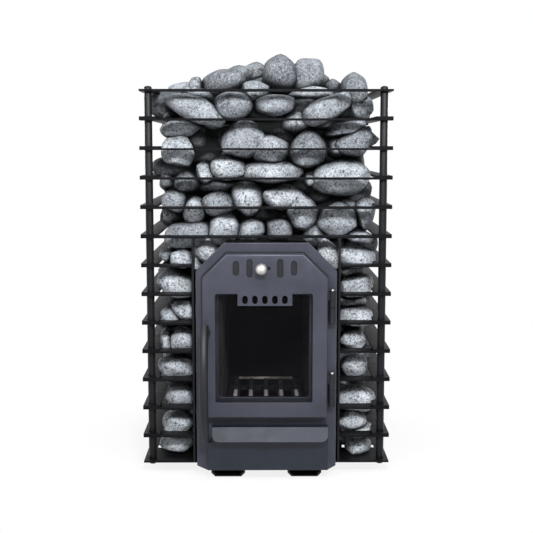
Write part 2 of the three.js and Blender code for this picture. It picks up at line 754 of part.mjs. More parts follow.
// Pan-shaped door: a skin with its edges turned back, hollow behind.
function doorPanel() {
  const edge = cutCorners(doorLeft, DOOR_BOTTOM, doorRight, doorTop, DOOR_CORNER_CUT);
  const pan = panel(edge, doorFace, DOOR_DEPTH);
  const hollowCut = DOOR_CORNER_CUT - DOOR_SKIN * (2 - Math.SQRT2);
  const hollow = panel(
    cutCorners(
      doorLeft + DOOR_SKIN,
      DOOR_BOTTOM + DOOR_SKIN,
      doorRight - DOOR_SKIN,
      doorTop - DOOR_SKIN,
      hollowCut,
    ),
    skinBack,
    DOOR_DEPTH,
  );
  const through = (shape) => panel(shape, doorFace - DOOR_SKIN, 3 * DOOR_SKIN);
  const cuts = [hollow, through(windowOutline())];
  for (const [x, height] of slotColumns) cuts.push(through(roundSlot(DOOR_X + x, slotZ, SLOT_WIDTH, height)));
  for (let i = 0; i < TAB_SLOTS; i++) {
    const x = DOOR_X + (i - (TAB_SLOTS - 1) / 2) * TAB_SLOT_PITCH;
    cuts.push(through(roundSlot(x, windowHigh - TAB_HEIGHT / 2, TAB_SLOT_WIDTH, TAB_SLOT_HEIGHT)));
  }
  const stemGap = KNOB_STEM + RUN_GAP;
  cuts.push(through(roundSlot(DOOR_X, slotZ, SLIDE_TRAVEL + stemGap, stemGap)));
  const shaftHole = SHAFT_DIAMETER / 2 + SEAT_GAP;
  cuts.push(barAlongY(shaftHole, doorFace - DOOR_SKIN, skinBack + DOOR_SKIN, ROUND_SIDES, shaftX, shaftZ));
  return pan.subtract(wasm.Manifold.union(cuts));
}
piece("door_panel", doorPanel(), doorPaint);

// A flat ring around the window, lap wide.
function windowRing(lap, y, thickness) {
  const shape = rectangle(windowLeft - lap, windowLow - lap, windowRight + lap, windowHigh + lap);
  shape.holes.push(rectangle(windowLeft, windowLow, windowRight, windowHigh));
  return panel(shape, y, thickness);
}

const sealFront = skinBack + SEAT_GAP;
const glassFront = sealFront + SEAL_THICKNESS + SEAT_GAP;
const retainerFront = glassFront + GLASS_THICKNESS + SEAT_GAP;
piece("glass_seal", windowRing(GLASS_LAP, sealFront, SEAL_THICKNESS), sealFibre);
piece(
  "door_glass",
  panel(
    rectangle(
      windowLeft - GLASS_LAP,
      windowLow - GLASS_LAP,
      windowRight + GLASS_LAP,
      windowHigh + GLASS_LAP,
    ),
    glassFront,
    GLASS_THICKNESS,
  ),
  darkGlass,
);
piece("glass_retainer", windowRing(GLASS_LAP, retainerFront, RETAINER_THICKNESS), boxSteel);

// Air slide: at rest its holes stand one travel to the left of the door's slots.
function airSlide() {
  const left = DOOR_X - slotOuterX - SLIDE_TRAVEL - SLOT_WIDTH / 2 - SLIDE_MARGIN;
  const right = DOOR_X + slotOuterX + SLOT_WIDTH / 2 + SLIDE_MARGIN;
  const shoulderLeft = DOOR_X - slotInnerX - SLIDE_TRAVEL - SLOT_WIDTH / 2;
  const shoulderRight = DOOR_X + slotInnerX + SLOT_WIDTH / 2;
  const low = slotZ - SLIDE_LOW;
  const shoulder = slotZ + SLIDE_SHOULDER;
  const high = slotZ + SLIDE_HIGH;
  const shape = outline([
    [left, low],
    [right, low],
    [right, shoulder],
    [shoulderRight + SLIDE_MARGIN, shoulder],
    [shoulderRight, high],
    [shoulderLeft, high],
    [shoulderLeft - SLIDE_MARGIN, shoulder],
    [left, shoulder],
  ]);
  for (const [x, height] of slotColumns)
    shape.holes.push(roundSlot(DOOR_X + x - SLIDE_TRAVEL, slotZ, SLOT_WIDTH, height));
  return panel(shape, skinBack + SEAT_GAP, SLIDE_THICKNESS);
}
piece("air_slide", airSlide(), doorPaint);

// Ball knob with its collar and stem, through the short level slot of the door.
function airKnob() {
  const stem = KNOB_STEM / 2;
  const collar = KNOB_COLLAR / 2;
  const ball = KNOB_DIAMETER / 2;
  const middle = doorFace - KNOB_REACH + ball;
  const neck = middle + Math.sqrt(ball * ball - collar * collar);
  const collarBack = doorFace - RUN_GAP;
  const profile = [[0, middle - ball]];
  for (const degrees of [-60, -30, 0, 30]) {
    const angle = THREE.MathUtils.degToRad(degrees);
    profile.push([ball * Math.cos(angle), middle + ball * Math.sin(angle)]);
  }
  profile.push([collar, neck], [collar, collarBack], [stem, collarBack], [stem, skinBack], [0, skinBack]);
  return turnedAlongY(profile, ROUND_SIDES, knobX, slotZ);
}
piece("air_knob", airKnob(), bareSteel);

// Hinges: in each pair the lower half is fixed to the front plate and the upper one to the door.
function hingeHalf(z, lug) {
  const r = HINGE_DIAMETER / 2;
  const bore = PIN_DIAMETER / 2 + SEAT_GAP;
  const barrel = turned(
    [[bore, z], [r, z], [r, z + HINGE_LENGTH], [bore, z + HINGE_LENGTH], [bore, z]],
    ROUND_SIDES,
    hingeX,
    hingeY,
  );
  const clear = barUpright((r + bore) / 2, z - WELD, z + HINGE_LENGTH + WELD, ROUND_SIDES, hingeX, hingeY);
  return barrel.add(lug.subtract(clear));
}

function frameHalf(z) {
  const lug = block(
    [hingeX - HINGE_LUG / 2, hingeY, z + HINGE_LUG / 2],
    [hingeX + HINGE_LUG / 2, plateFront - SEAT_GAP, z + HINGE_LENGTH - HINGE_LUG / 2],
  );
  return hingeHalf(z, lug);
}

function doorHalf(z) {
  const high = z + HINGE_LENGTH - HINGE_LUG / 2;
  const lug = block(
    [doorRight + SEAT_GAP, hingeY - HINGE_LUG / 2, high - 2 * HINGE_LUG],
    [hingeX, hingeY + HINGE_LUG / 2, high],
  );
  return hingeHalf(z, lug);
}

function hingePin(z) {
  const r = PIN_DIAMETER / 2;
  const high = z + 2 * HINGE_LENGTH + SEAT_GAP + PIN_TIP;
  const profile = [[0, z], [r, z], [r, high - r / 2], [r / 2, high], [0, high]];
  return turned(profile, ROUND_SIDES, hingeX, hingeY);
}

const hingeLow = DOOR_BOTTOM + HINGE_LOW;
const hingeHigh = doorTop - DOOR_CORNER_CUT - HINGE_HEAD;
for (const [place, z] of [["lower", hingeLow], ["upper", hingeHigh]]) {
  piece(`hinge_frame_half_${place}`, frameHalf(z), cagePaint);
  piece(`hinge_door_half_${place}`, doorHalf(z + HINGE_LENGTH + SEAT_GAP), cagePaint);
  piece(`hinge_pin_${place}`, hingePin(z), bareSteel);
}

// Handle: a bowed bar that turns on a shaft through the door.
class BowedBar extends THREE.Curve {
  // The arc from the top end to the bottom end, bowed towards the front.
  getPoint(t, target = new THREE.Vector3()) {
    const half = HANDLE_LENGTH / 2;
    const radius = (half * half + HANDLE_BOW * HANDLE_BOW) / (2 * HANDLE_BOW);
    const reach = Math.asin(half / radius);
    const angle = reach * (1 - 2 * t);
    const endY = doorFace - HANDLE_STANDOFF;
    const y = endY - radius * (Math.cos(angle) - Math.cos(reach));
    return target.set(handleX, y, handleTop - half + radius * Math.sin(angle));
  }
}

function handleLever() {
  const path = new BowedBar();
  const section = new THREE.Shape().absarc(0, 0, HANDLE_DIAMETER / 2, 0, 2 * Math.PI);
  const bar = new THREE.ExtrudeGeometry(section, {
    steps: HANDLE_BEND_STEPS,
    curveSegments: ROUND_SIDES,
    bevelEnabled: false,
    extrudePath: path,
  });
  const atShaft = path.getPoint((handleTop - shaftZ) / HANDLE_LENGTH);
  const boss = barAlongY(BOSS_DIAMETER / 2, atShaft.y, doorFace - SEAT_GAP, ROUND_SIDES, shaftX, shaftZ);
  const shaftEnd = plateFront - RUN_GAP;
  const shaft = barAlongY(SHAFT_DIAMETER / 2, atShaft.y, shaftEnd, ROUND_SIDES, shaftX, shaftZ);
  return wasm.Manifold.union([solid(bar), boss, shaft]);
}
piece("handle_lever", handleLever(), doorPaint);

// Latch: a tongue on the shaft, its nut, and the keeper on the front plate.
const nutBack = plateFront - RUN_GAP - SEAT_GAP;
const nutFront = nutBack - NUT_THICKNESS;
const tongueBack = nutFront - SEAT_GAP;
const tongueFront = tongueBack - TONGUE_THICKNESS;
const shaftClear = (y0, y1) =>
  barAlongY(SHAFT_DIAMETER / 2 + SEAT_GAP, y0, y1, ROUND_SIDES, shaftX, shaftZ);
const tongue = panel(
  outline([
    [shaftX - TONGUE_TAIL / 2, shaftZ - TONGUE_TAIL],
    [shaftX + TONGUE_TAIL / 2, shaftZ - TONGUE_TAIL],
    [shaftX + TONGUE_WIDTH / 2, shaftZ - TONGUE_TAIL / 3],
    [shaftX + TONGUE_WIDTH / 2, shaftZ + TONGUE_LENGTH],
    [shaftX - TONGUE_WIDTH / 2, shaftZ + TONGUE_LENGTH],
    [shaftX - TONGUE_WIDTH / 2, shaftZ - TONGUE_TAIL / 3],
  ]),
  tongueFront,
  TONGUE_THICKNESS,
).subtract(shaftClear(tongueFront - WALL, tongueBack + WALL));
piece("latch_tongue", tongue, bareSteel);

const nut = barAlongY(NUT_WIDTH / 2, nutFront, nutBack, NUT_SIDES, shaftX, shaftZ).subtract(
  shaftClear(nutFront - WALL, nutBack + WALL),
);
piece("tongue_nut", nut, bareSteel);

// The keeper is a folded hook: the tongue swings in behind its front leaf.
function latchKeeper() {
  const right = windowLeft + THROAT_INSET - RUN_GAP;
  const left = right - KEEPER_WIDTH;
  const low = shaftZ + KEEPER_RISE;
  const high = low + KEEPER_HEIGHT;
  const front = plateFront - KEEPER_REACH;
  const back = plateFront - SEAT_GAP;
  return wasm.Manifold.union([
    block([left, front, low], [right, front + KEEPER_SHEET, high]),
    block([right - KEEPER_SHEET, front, low], [right, back, high]),
    block([left, back - KEEPER_SHEET, low], [right, back, high]),
  ]);
}
piece("latch_keeper", latchKeeper(), bareSteel);

// Ash drawer

// Drawer front: a shallow pan with a lip turned out along its top edge.
function drawerFront() {
  const notchX = drawerLeft + DRAWER_NOTCH_WIDTH;
  const pan = (inset) =>
    outline([
      [drawerLeft + inset, DRAWER_BOTTOM + inset],
      [drawerRight - inset, DRAWER_BOTTOM + inset],
      [drawerRight - inset, DRAWER_TOP - inset],
      [notchX + inset, DRAWER_TOP - inset],
      [notchX + inset, DRAWER_NOTCH_Z - inset],
      [drawerLeft + inset, DRAWER_NOTCH_Z - inset],
    ]);
  const shell = panel(pan(0), doorFace, DOOR_DEPTH).subtract(
    panel(pan(DRAWER_SKIN), doorFace + DRAWER_SKIN, DOOR_DEPTH),
  );
  const slope = Math.hypot(LIP_REACH, LIP_DROP);
  const lipShape = new THREE.Shape();
  lipShape.moveTo(drawerRight, 0);
  lipShape.lineTo(notchX, 0);
  lipShape.absarc(notchX + LIP_RADIUS, LIP_RADIUS - slope, LIP_RADIUS, Math.PI, 1.5 * Math.PI);
  lipShape.absarc(drawerRight - LIP_RADIUS, LIP_RADIUS - slope, LIP_RADIUS, 1.5 * Math.PI, 2 * Math.PI);
  const lip = new THREE.ExtrudeGeometry(lipShape, {
    depth: LIP_THICKNESS,
    bevelEnabled: false,
    curveSegments: ARC_STEPS,
  });
  lip.rotateX(Math.atan2(LIP_DROP, LIP_REACH));
  lip.translate(0, doorFace, DRAWER_TOP);
  const fold = block(
    [notchX, doorFace - LIP_THICKNESS, DRAWER_TOP - DRAWER_SKIN],
    [drawerRight, doorFace + WELD, DRAWER_TOP],
  );
  return wasm.Manifold.union([shell, solid(lip), fold]);
}
piece("ash_drawer_front", drawerFront(), doorPaint);

const trayFront = doorFace + DRAWER_SKIN + SEAT_GAP;
const trayTop = trayBottom + TRAY_HEIGHT;
const ashTray = block(
  [-trayHalf, trayFront, trayBottom],
  [trayHalf, trayFront + TRAY_LENGTH, trayTop],
).subtract(
  block(
    [-trayHalf + TRAY_WALL, trayFront + TRAY_WALL, trayBottom + TRAY_WALL],
    [trayHalf - TRAY_WALL, trayFront + TRAY_LENGTH - TRAY_WALL, trayTop + TRAY_WALL],
  ),
);
piece("ash_tray", ashTray, boxSteel);

// Stones

// A repeatable number from 0 to 1 for each whole number.
function scatter(index) {
  const value = Math.sin(index * 12.9898 + 4.1414) * 43758.5453;
  return value - Math.floor(value);
}

const vary = (index, [low, high]) => low + (high - low) * scatter(index);

// One stone: size along x, y and z, tilted about the y axis, then turned about the upright axis.
function stone(at, size, tilt, turn = 0) {
  const geometry = new THREE.IcosahedronGeometry(STONE_SWELL / 2, 0);
  geometry.scale(...size);
  geometry.rotateY(THREE.MathUtils.degToRad(tilt));
  geometry.rotateZ(THREE.MathUtils.degToRad(turn));
  geometry.translate(...at);
  return solid(geometry);
}

const stoneReach = barInner - STONE_GAP;
const coreReach = CORE_SHARE * stoneReach;
const stoneLow = baseTop + SEAT_GAP;
const upperLow = boxTop + SEAT_GAP;
const heapHigh = topRingTop + HEAP_LIMIT;
const spread = stoneReach / LISTED_REACH;

// The front layer, and the heap's front stones.
const frontLayer = FRONT_STONES.map(([x, z, width, height, tilt, back]) => {
  const limit = stoneReach + STONE_OVERRUN - (spread * width) / 2;
  const inside = THREE.MathUtils.clamp(spread * x, -limit, limit);
  return stone([inside, STONE_DEPTH / 2 + back - stoneReach, z], [spread * width, STONE_DEPTH, height], tilt);
});
const frontHeap = FRONT_HEAP.map(([x, z, width, height, tilt, y]) =>
  stone([spread * x, spread * y, z], [spread * width, (width + STONE_DEPTH) / 2, height], tilt),
);

// Stones in courses on an upright face that is turned about the cage's axis.
function courses({ seed, from, to, turn }) {
  const rows = Math.round((topRingBottom - stoneLow) / COURSE_HEIGHT);
  const count = Math.round((to - from) / COURSE_PITCH);
  const rowHeight = (topRingBottom - stoneLow) / rows;
  const pitch = (to - from) / count;
  const angle = THREE.MathUtils.degToRad(turn);
  const stones = [];
  for (let row = 0; row < rows; row++) {
    for (let i = 0; i < count; i++) {
      const index = seed + ROW_STEP * row + STONE_STEP * i;
      const bond = row % 2 ? BOND_SHIFT : -BOND_SHIFT;
      const along = from + (i + 0.5 + bond + vary(index, SHIFT_RANGE)) * pitch;
      const z = stoneLow + (row + 0.5 + vary(index + 1, SHIFT_RANGE)) * rowHeight;
      const width = pitch * vary(index + 2, WIDTH_RANGE);
      const height = rowHeight * vary(index + 3, HEIGHT_RANGE);
      const out = stoneReach - STONE_DEPTH / 2 - vary(index + 1, INSET_RANGE);
      const x = along * Math.cos(angle) + out * Math.sin(angle);
      const y = along * Math.sin(angle) - out * Math.cos(angle);
      stones.push(stone([x, y, z], [width, STONE_DEPTH, height], vary(index + 4, TILT_RANGE), turn));
    }
  }
  return stones;
}

// How far towards the middle of the top a place lies, from 0 at the bars to 1.
const inward = (x, y) => 1 - Math.max(Math.abs(x), Math.abs(y)) / stoneReach;

// The heap behind its front stones, lower towards the cage, each stone clear of the flue pipe.
function heap(seed) {
  const count = Math.round((2 * stoneReach) / COURSE_PITCH);
  const pitch = (2 * stoneReach) / count;
  const stones = [];
  for (let i = 0; i < count; i++) {
    for (let j = 1; j < count; j++) {
      const index = seed + ROW_STEP * i + STONE_STEP * j;
      const x = (i + 0.5 + vary(index, SHIFT_RANGE)) * pitch - stoneReach;
      const y = (j + 0.5 + vary(index + 1, SHIFT_RANGE)) * pitch - stoneReach;
      const width = pitch * vary(index + 2, HEAP_WIDTH_RANGE);
      const deep = pitch * vary(index + 3, HEAP_DEPTH_RANGE);
      const height = COURSE_HEIGHT * vary(index + 4, HEIGHT_RANGE);
      const away = Math.hypot(x, y - FLUE_Y);
      const room = (FLUE_DIAMETER + width) / 2;
      const push = Math.max(1, room / away);
      const z = topRingTop - HEAP_DROP + HEAP_RISE * inward(x, y) + vary(index + 5, HEAP_SHIFT_RANGE);
      const at = [push * x, FLUE_Y + push * (y - FLUE_Y), z];
      stones.push(stone(at, [width, deep, height], 0, vary(index + 6, TURN_RANGE)));
    }
  }
  return stones;
}

// The packed middle: upright, with a low pyramid under the heap.
const moundLow = topRingTop - HEAP_DROP - HEAP_SINK;
const core = block([-coreReach, -coreReach, stoneLow], [coreReach, coreReach, moundLow + WELD]);
const pyramid = new THREE.ConeGeometry(stoneReach * Math.SQRT2, HEAP_RISE, 4);
pyramid.rotateY(Math.PI / 4);
pyramid.rotateX(Math.PI / 2);
pyramid.translate(0, 0, moundLow + HEAP_RISE / 2);
const mound = solid(pyramid).intersect(
  block([-coreReach, -coreReach, moundLow], [coreReach, coreReach, heapHigh]),
);

const sideEnd = stoneReach - STONE_DEPTH;
const filling = wasm.Manifold.union([
  core,
  mound,
  ...frontLayer,
  ...frontHeap,
  ...courses({ seed: 100, turn: -90, from: -stoneReach, to: sideEnd }),
  ...courses({ seed: 2100, turn: 90, from: -sideEnd, to: stoneReach }),
  ...courses({ seed: 4100, turn: 180, from: -sideEnd, to: sideEnd }),
  ...heap(5000),
]);

// The room that the firebox takes up inside the stones.
const boxRoom = panel(
  cutCorners(-boxHalf - SEAT_GAP, 0, boxHalf + SEAT_GAP, upperLow, SHOULDER),
  plateBack,
  boxBack + SEAT_GAP - plateBack,
);

// A bed of stones: the part of the filling inside the bed's own space.
function stoneBed(name, low, high) {
  const bed = filling.intersect(block(low, high).subtract(boxRoom));
  const bodies = bed.decompose().sort((a, b) => b.volume() - a.volume());
  piece(name, bodies[0], granite); // crumbs cut off at the edge of the space are left out
}

const rearBedHalf = flatHalf - SEAT_GAP;
stoneBed("stones_left", [-stoneReach, -stoneReach, stoneLow], [-flatHalf, stoneReach, boxTop]);
stoneBed("stones_right", [flatHalf, -stoneReach, stoneLow], [stoneReach, stoneReach, boxTop]);
stoneBed("stones_back", [-rearBedHalf, boxBack + SEAT_GAP, stoneLow], [rearBedHalf, stoneReach, boxTop]);

// Above the firebox: four beds around the flue pipe.
const flueHalf = FLUE_DIAMETER / 2 + SEAT_GAP;
const frontBedBack = FLUE_Y - flueHalf;
const sideBedFront = frontBedBack + SEAT_GAP;
const backBedHalf = flueHalf - SEAT_GAP;
stoneBed("stones_upper_front", [-stoneReach, -stoneReach, upperLow], [stoneReach, frontBedBack, heapHigh]);
stoneBed("stones_upper_left", [-stoneReach, sideBedFront, upperLow], [-flueHalf, stoneReach, heapHigh]);
stoneBed("stones_upper_right", [flueHalf, sideBedFront, upperLow], [stoneReach, stoneReach, heapHigh]);
const backBedFront = FLUE_Y + flueHalf;
stoneBed("stones_upper_back", [-backBedHalf, backBedFront, upperLow], [backBedHalf, stoneReach, heapHigh]);

// The origin lies under the middle of the whole object, the handle's reach included.
const reach = new THREE.Box3().setFromObject(stove);
stove.position.y = -(reach.min.y + reach.max.y) / 2;

export default stove;
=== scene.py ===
"""Looks of a wood-fired sauna stove: a cage of flat bars full of stones around a glazed firebox."""
import logging
import math
from dataclasses import dataclass
from enum import Enum

import bmesh
import bpy
from mathutils import Color, Euler, Matrix, Vector, geometry


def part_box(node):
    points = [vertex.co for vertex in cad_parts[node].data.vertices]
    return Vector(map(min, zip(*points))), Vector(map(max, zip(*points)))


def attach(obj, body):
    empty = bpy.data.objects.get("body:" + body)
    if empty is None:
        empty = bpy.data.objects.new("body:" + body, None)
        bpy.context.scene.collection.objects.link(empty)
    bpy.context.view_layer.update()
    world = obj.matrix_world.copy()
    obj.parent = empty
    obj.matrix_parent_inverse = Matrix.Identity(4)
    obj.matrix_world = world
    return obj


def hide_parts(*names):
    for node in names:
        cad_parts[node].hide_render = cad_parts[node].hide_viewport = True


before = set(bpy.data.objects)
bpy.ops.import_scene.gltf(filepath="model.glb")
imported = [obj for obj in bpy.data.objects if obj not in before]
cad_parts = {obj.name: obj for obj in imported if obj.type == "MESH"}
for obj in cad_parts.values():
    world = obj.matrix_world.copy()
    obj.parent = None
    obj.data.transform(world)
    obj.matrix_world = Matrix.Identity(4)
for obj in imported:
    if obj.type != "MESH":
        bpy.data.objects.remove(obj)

LOG = logging.getLogger("sauna_stove")
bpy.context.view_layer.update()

MM = 0.001
MERGE = 0.02 * MM
FLAT_ANGLE = math.radians(1)
FOLD_ANGLE = math.radians(50)
SMOOTH_ANGLE = math.radians(38)
SCATTER_STEP = 12.9898
SCATTER_START = 4.1414
SCATTER_REACH = 43758.5453

Colour = tuple[float, float, float, float]
Point = tuple[float, float, float]
Range = tuple[float, float]
Profile = list[Range]
Form = bmesh.types.BMesh
Material = bpy.types.Material
Mesh = bpy.types.Mesh
Node = bpy.types.Node
Piece = bpy.types.Object
Socket = bpy.types.NodeSocket

WHITE: Colour = (1.0, 1.0, 1.0, 1.0)
FULL: Range = (0.0, 1.0)


class Body(Enum):
    """The moving bodies of the stove."""

    FRAME = "frame"
    DOOR = "door"
    HANDLE = "handle"
    AIR = "air_control"
    DRAWER = "ash_drawer"


class Slot(Enum):
    """The record's material slots."""

    CAGE = "cage_paint"
    DOOR = "door_paint"
    BOX = "box_steel"
    STEEL = "bare_steel"
    IRON = "cast_iron"
    BRICK = "firebrick"
    GLASS = "glass"
    SEAL = "seal_fibre"
    GRANITE = "granite"


def colour(code: str) -> Colour:
    """A colour written as six hex digits, in linear light.

    Args:
        code: the digits of red, green and blue as a screen shows them.

    Returns:
        Red, green, blue and full alpha.
    """
    shown = Color([part / 255 for part in bytes.fromhex(code)])
    return *shown.from_srgb_to_scene_linear(), 1.0


class NodeSheet:
    """A shader or geometry tree under construction."""

    def __init__(self, tree: bpy.types.NodeTree) -> None:
        """Clears the tree and starts adding to it."""
        self.tree = tree
        tree.nodes.clear()

    def add(self, kind: str, settings: dict | None = None, **inputs: object) -> Node:
        """Adds a node and fills or links its inputs.

        Args:
            kind: the node's type name.
            settings: properties of the node itself.
            inputs: values or output sockets by input name, with underscores for spaces.

        Returns:
            The new node.
        """
        node = self.tree.nodes.new(kind)
        for key, value in (settings or {}).items():
            setattr(node, key, value)
        self.set(node, **inputs)
        return node

    def set(self, node: Node, **inputs: object) -> None:
        """Fills or links a node's enabled inputs by name, whatever their case.

        Args:
            node: the node.
            inputs: values or output sockets by input name, with underscores for spaces.
        """
        for key, value in inputs.items():
            wanted = key.replace("_", " ").lower()
            self.fill(next(s for s in node.inputs if s.enabled and s.name.lower() == wanted), value)

    def fill(self, socket: Socket, value: object) -> None:
        """Sets a socket, or links it where the value is an output socket.

        Args:
            socket: the input.
            value: a plain value or an output socket.
        """
        if isinstance(value, Socket):
            self.tree.links.new(value, socket)
        else:
            socket.default_value = value

    def out(self, kind: str, settings: dict | None = None, **inputs: object) -> Socket:
        """Adds a node with named inputs and gives its first enabled output."""
        return next(s for s in self.add(kind, settings, **inputs).outputs if s.enabled)

    def run(self, kind: str, settings: dict, *values: object) -> Socket:
        """Adds a node and fills its enabled inputs in their order.

        Args:
            kind: the node's type name.
            settings: properties of the node itself.
            values: values or output sockets, in the order of the inputs.

        Returns:
            The node's first enabled output.
        """
        node = self.add(kind, settings)
        for socket, value in zip([s for s in node.inputs if s.enabled], values):
            self.fill(socket, value)
        return next(s for s in node.outputs if s.enabled)

    def math(self, operation: str, *values: object) -> Socket:
        """A Math node's result for values or sockets."""
        return self.run("ShaderNodeMath", {"operation": operation}, *values)

    def vector(self, operation: str, *values: object) -> Socket:
        """A Vector Math node's result for vectors, or for a vector and a scale."""
        return self.run("ShaderNodeVectorMath", {"operation": operation}, *values)

    def blend(self, amount: object, low: object, high: object) -> Socket:
        """Mixes two colours by an amount from 0 to 1."""
        return self.run("ShaderNodeMix", {"data_type": "RGBA"}, amount, low, high)

    def between(self, value: object, span: Range, to: Range = FULL) -> Socket:
        """Maps a value from one span to another, held at its ends."""
        return self.run("ShaderNodeMapRange", {"clamp": True}, value, *span, *to)

    def behind(self, amount: float | Socket, lit: Socket, white: Socket) -> Socket:
        """Shows plain white to the rays that see the background, and a lit shader to the others.

        Args:
            amount: how much of the white those rays see, from 0 to 1.
            lit: the shader that lights the stove or takes its shadow.
            white: the shader of the background.

        Returns:
            The mixed shader.
        """
        rays = self.add("ShaderNodeLightPath").outputs
        seen = self.math("MAXIMUM", rays["Is Camera Ray"], rays["Is Glossy Ray"])
        seen = self.math("MAXIMUM", seen, rays["Is Transmission Ray"])
        return self.run("ShaderNodeMixShader", {}, self.math("MULTIPLY", amount, seen), lit, white)


@dataclass(frozen=True)
class Grain:
    """A noise pattern: waves per metre, octaves, their roughness, and the span of it that counts."""

    scale: float
    detail: float
    roughness: float = 0.55
    span: Range = FULL


@dataclass(frozen=True)
class Layer:
    """A colour over another: its code, the span of the field that carries it, its shares at the ends."""

    code: str
    span: Range
    shares: Range


class SurfaceSheet(NodeSheet):
    """A material's tree, with its shader and its object coordinates."""

    def __init__(self, name: str) -> None:
        """Starts a material with one Principled shader.

        Args:
            name: the material's name.
        """
        self.material = bpy.data.materials.new(name)
        self.material.use_nodes = True
        super().__init__(self.material.node_tree)
        self.shader = self.add("ShaderNodeBsdfPrincipled")
        self.output = self.add("ShaderNodeOutputMaterial", Surface=self.shader.outputs[0])
        self.place = self.add("ShaderNodeTexCoord").outputs["Object"]

    def dress(self, **inputs: object) -> None:
        """Sets or links the shader's inputs by name."""
        self.set(self.shader, **inputs)

    def noise(self, grain: Grain) -> Socket:
        """A grain's field, from 0 to 1."""
        sizes = {"Scale": grain.scale, "Detail": grain.detail, "Roughness": grain.roughness}
        return self.out("ShaderNodeTexNoise", Vector=self.place, **sizes)

    def lay(self, under: object, layer: Layer, carrier: Socket) -> Socket:
        """Lays a colour over another where a field carries it."""
        return self.blend(self.between(carrier, layer.span, layer.shares), under, colour(layer.code))

    def tint(self, carrier: Socket, span: Range, low: str, high: str) -> Socket:
        """A colour between two, as a field runs over a span."""
        return self.lay(colour(low), Layer(high, span, FULL), carrier)

    def relief(self, height: Socket, depth: float, strength: float) -> None:
        """Gives the surface a bump of the given depth in metres."""
        self.dress(Normal=self.out("ShaderNodeBump", Strength=strength, Distance=depth, Height=height))


@dataclass(frozen=True)
class PaintFinish:
    """Heat-resistant paint on sheet steel: satin, faintly mottled, with a fine orange-peel grain."""

    name: str
    low: str
    high: str
    roughness: Range
    gloss: float = 0.5
    peel_strength: float = 0.12
    peel_depth: float = 0.15 * MM
    peel: Grain = Grain(900, 2)
    cloud: Grain = Grain(9, 5, span=(0.32, 0.68))
    streak: Grain = Grain(60, 3, span=(0.3, 0.7))
    streak_share: float = 0.25
    metallic: float = 0.25

    def make(self) -> Material:
        """Builds the material.

        Returns:
            The painted-steel material.
        """
        sheet = SurfaceSheet(self.name)
        streak = sheet.noise(self.streak)
        part = sheet.math("MULTIPLY", streak, self.streak_share)
        mottle = sheet.math("MULTIPLY_ADD", sheet.noise(self.cloud), 1 - self.streak_share, part)
        sheet.dress(Base_Color=sheet.tint(mottle, self.cloud.span, self.low, self.high))
        sheet.dress(Roughness=sheet.between(streak, self.streak.span, self.roughness))
        sheet.dress(Metallic=self.metallic, Specular_IOR_Level=self.gloss)
        sheet.relief(sheet.noise(self.peel), self.peel_depth, self.peel_strength)
        return sheet.material


@dataclass(frozen=True)
class SteelFinish:
    """Bare turned steel with fine tool marks and a little haze."""

    name: str = "bare turned steel"
    roughness: Range = (0.22, 0.36)
    low: str = "a9a6a1"
    high: str = "d2d0cc"
    haze: Grain = Grain(120, 4, span=(0.35, 0.65))
    haze_reach: Range = (0.3, 0.7)
    marks: Grain = Grain(2600, 2)
    marks_depth: float = 0.05 * MM
    marks_strength: float = 0.15

    def make(self) -> Material:
        """Builds the material.

        Returns:
            The bare-steel material.
        """
        sheet = SurfaceSheet(self.name)
        haze = sheet.noise(self.haze)
        sheet.dress(Base_Color=sheet.tint(haze, self.haze.span, self.low, self.high), Metallic=1.0)
        sheet.dress(Roughness=sheet.between(haze, self.haze_reach, self.roughness))
        sheet.relief(sheet.noise(self.marks), self.marks_depth, self.marks_strength)
        return sheet.material


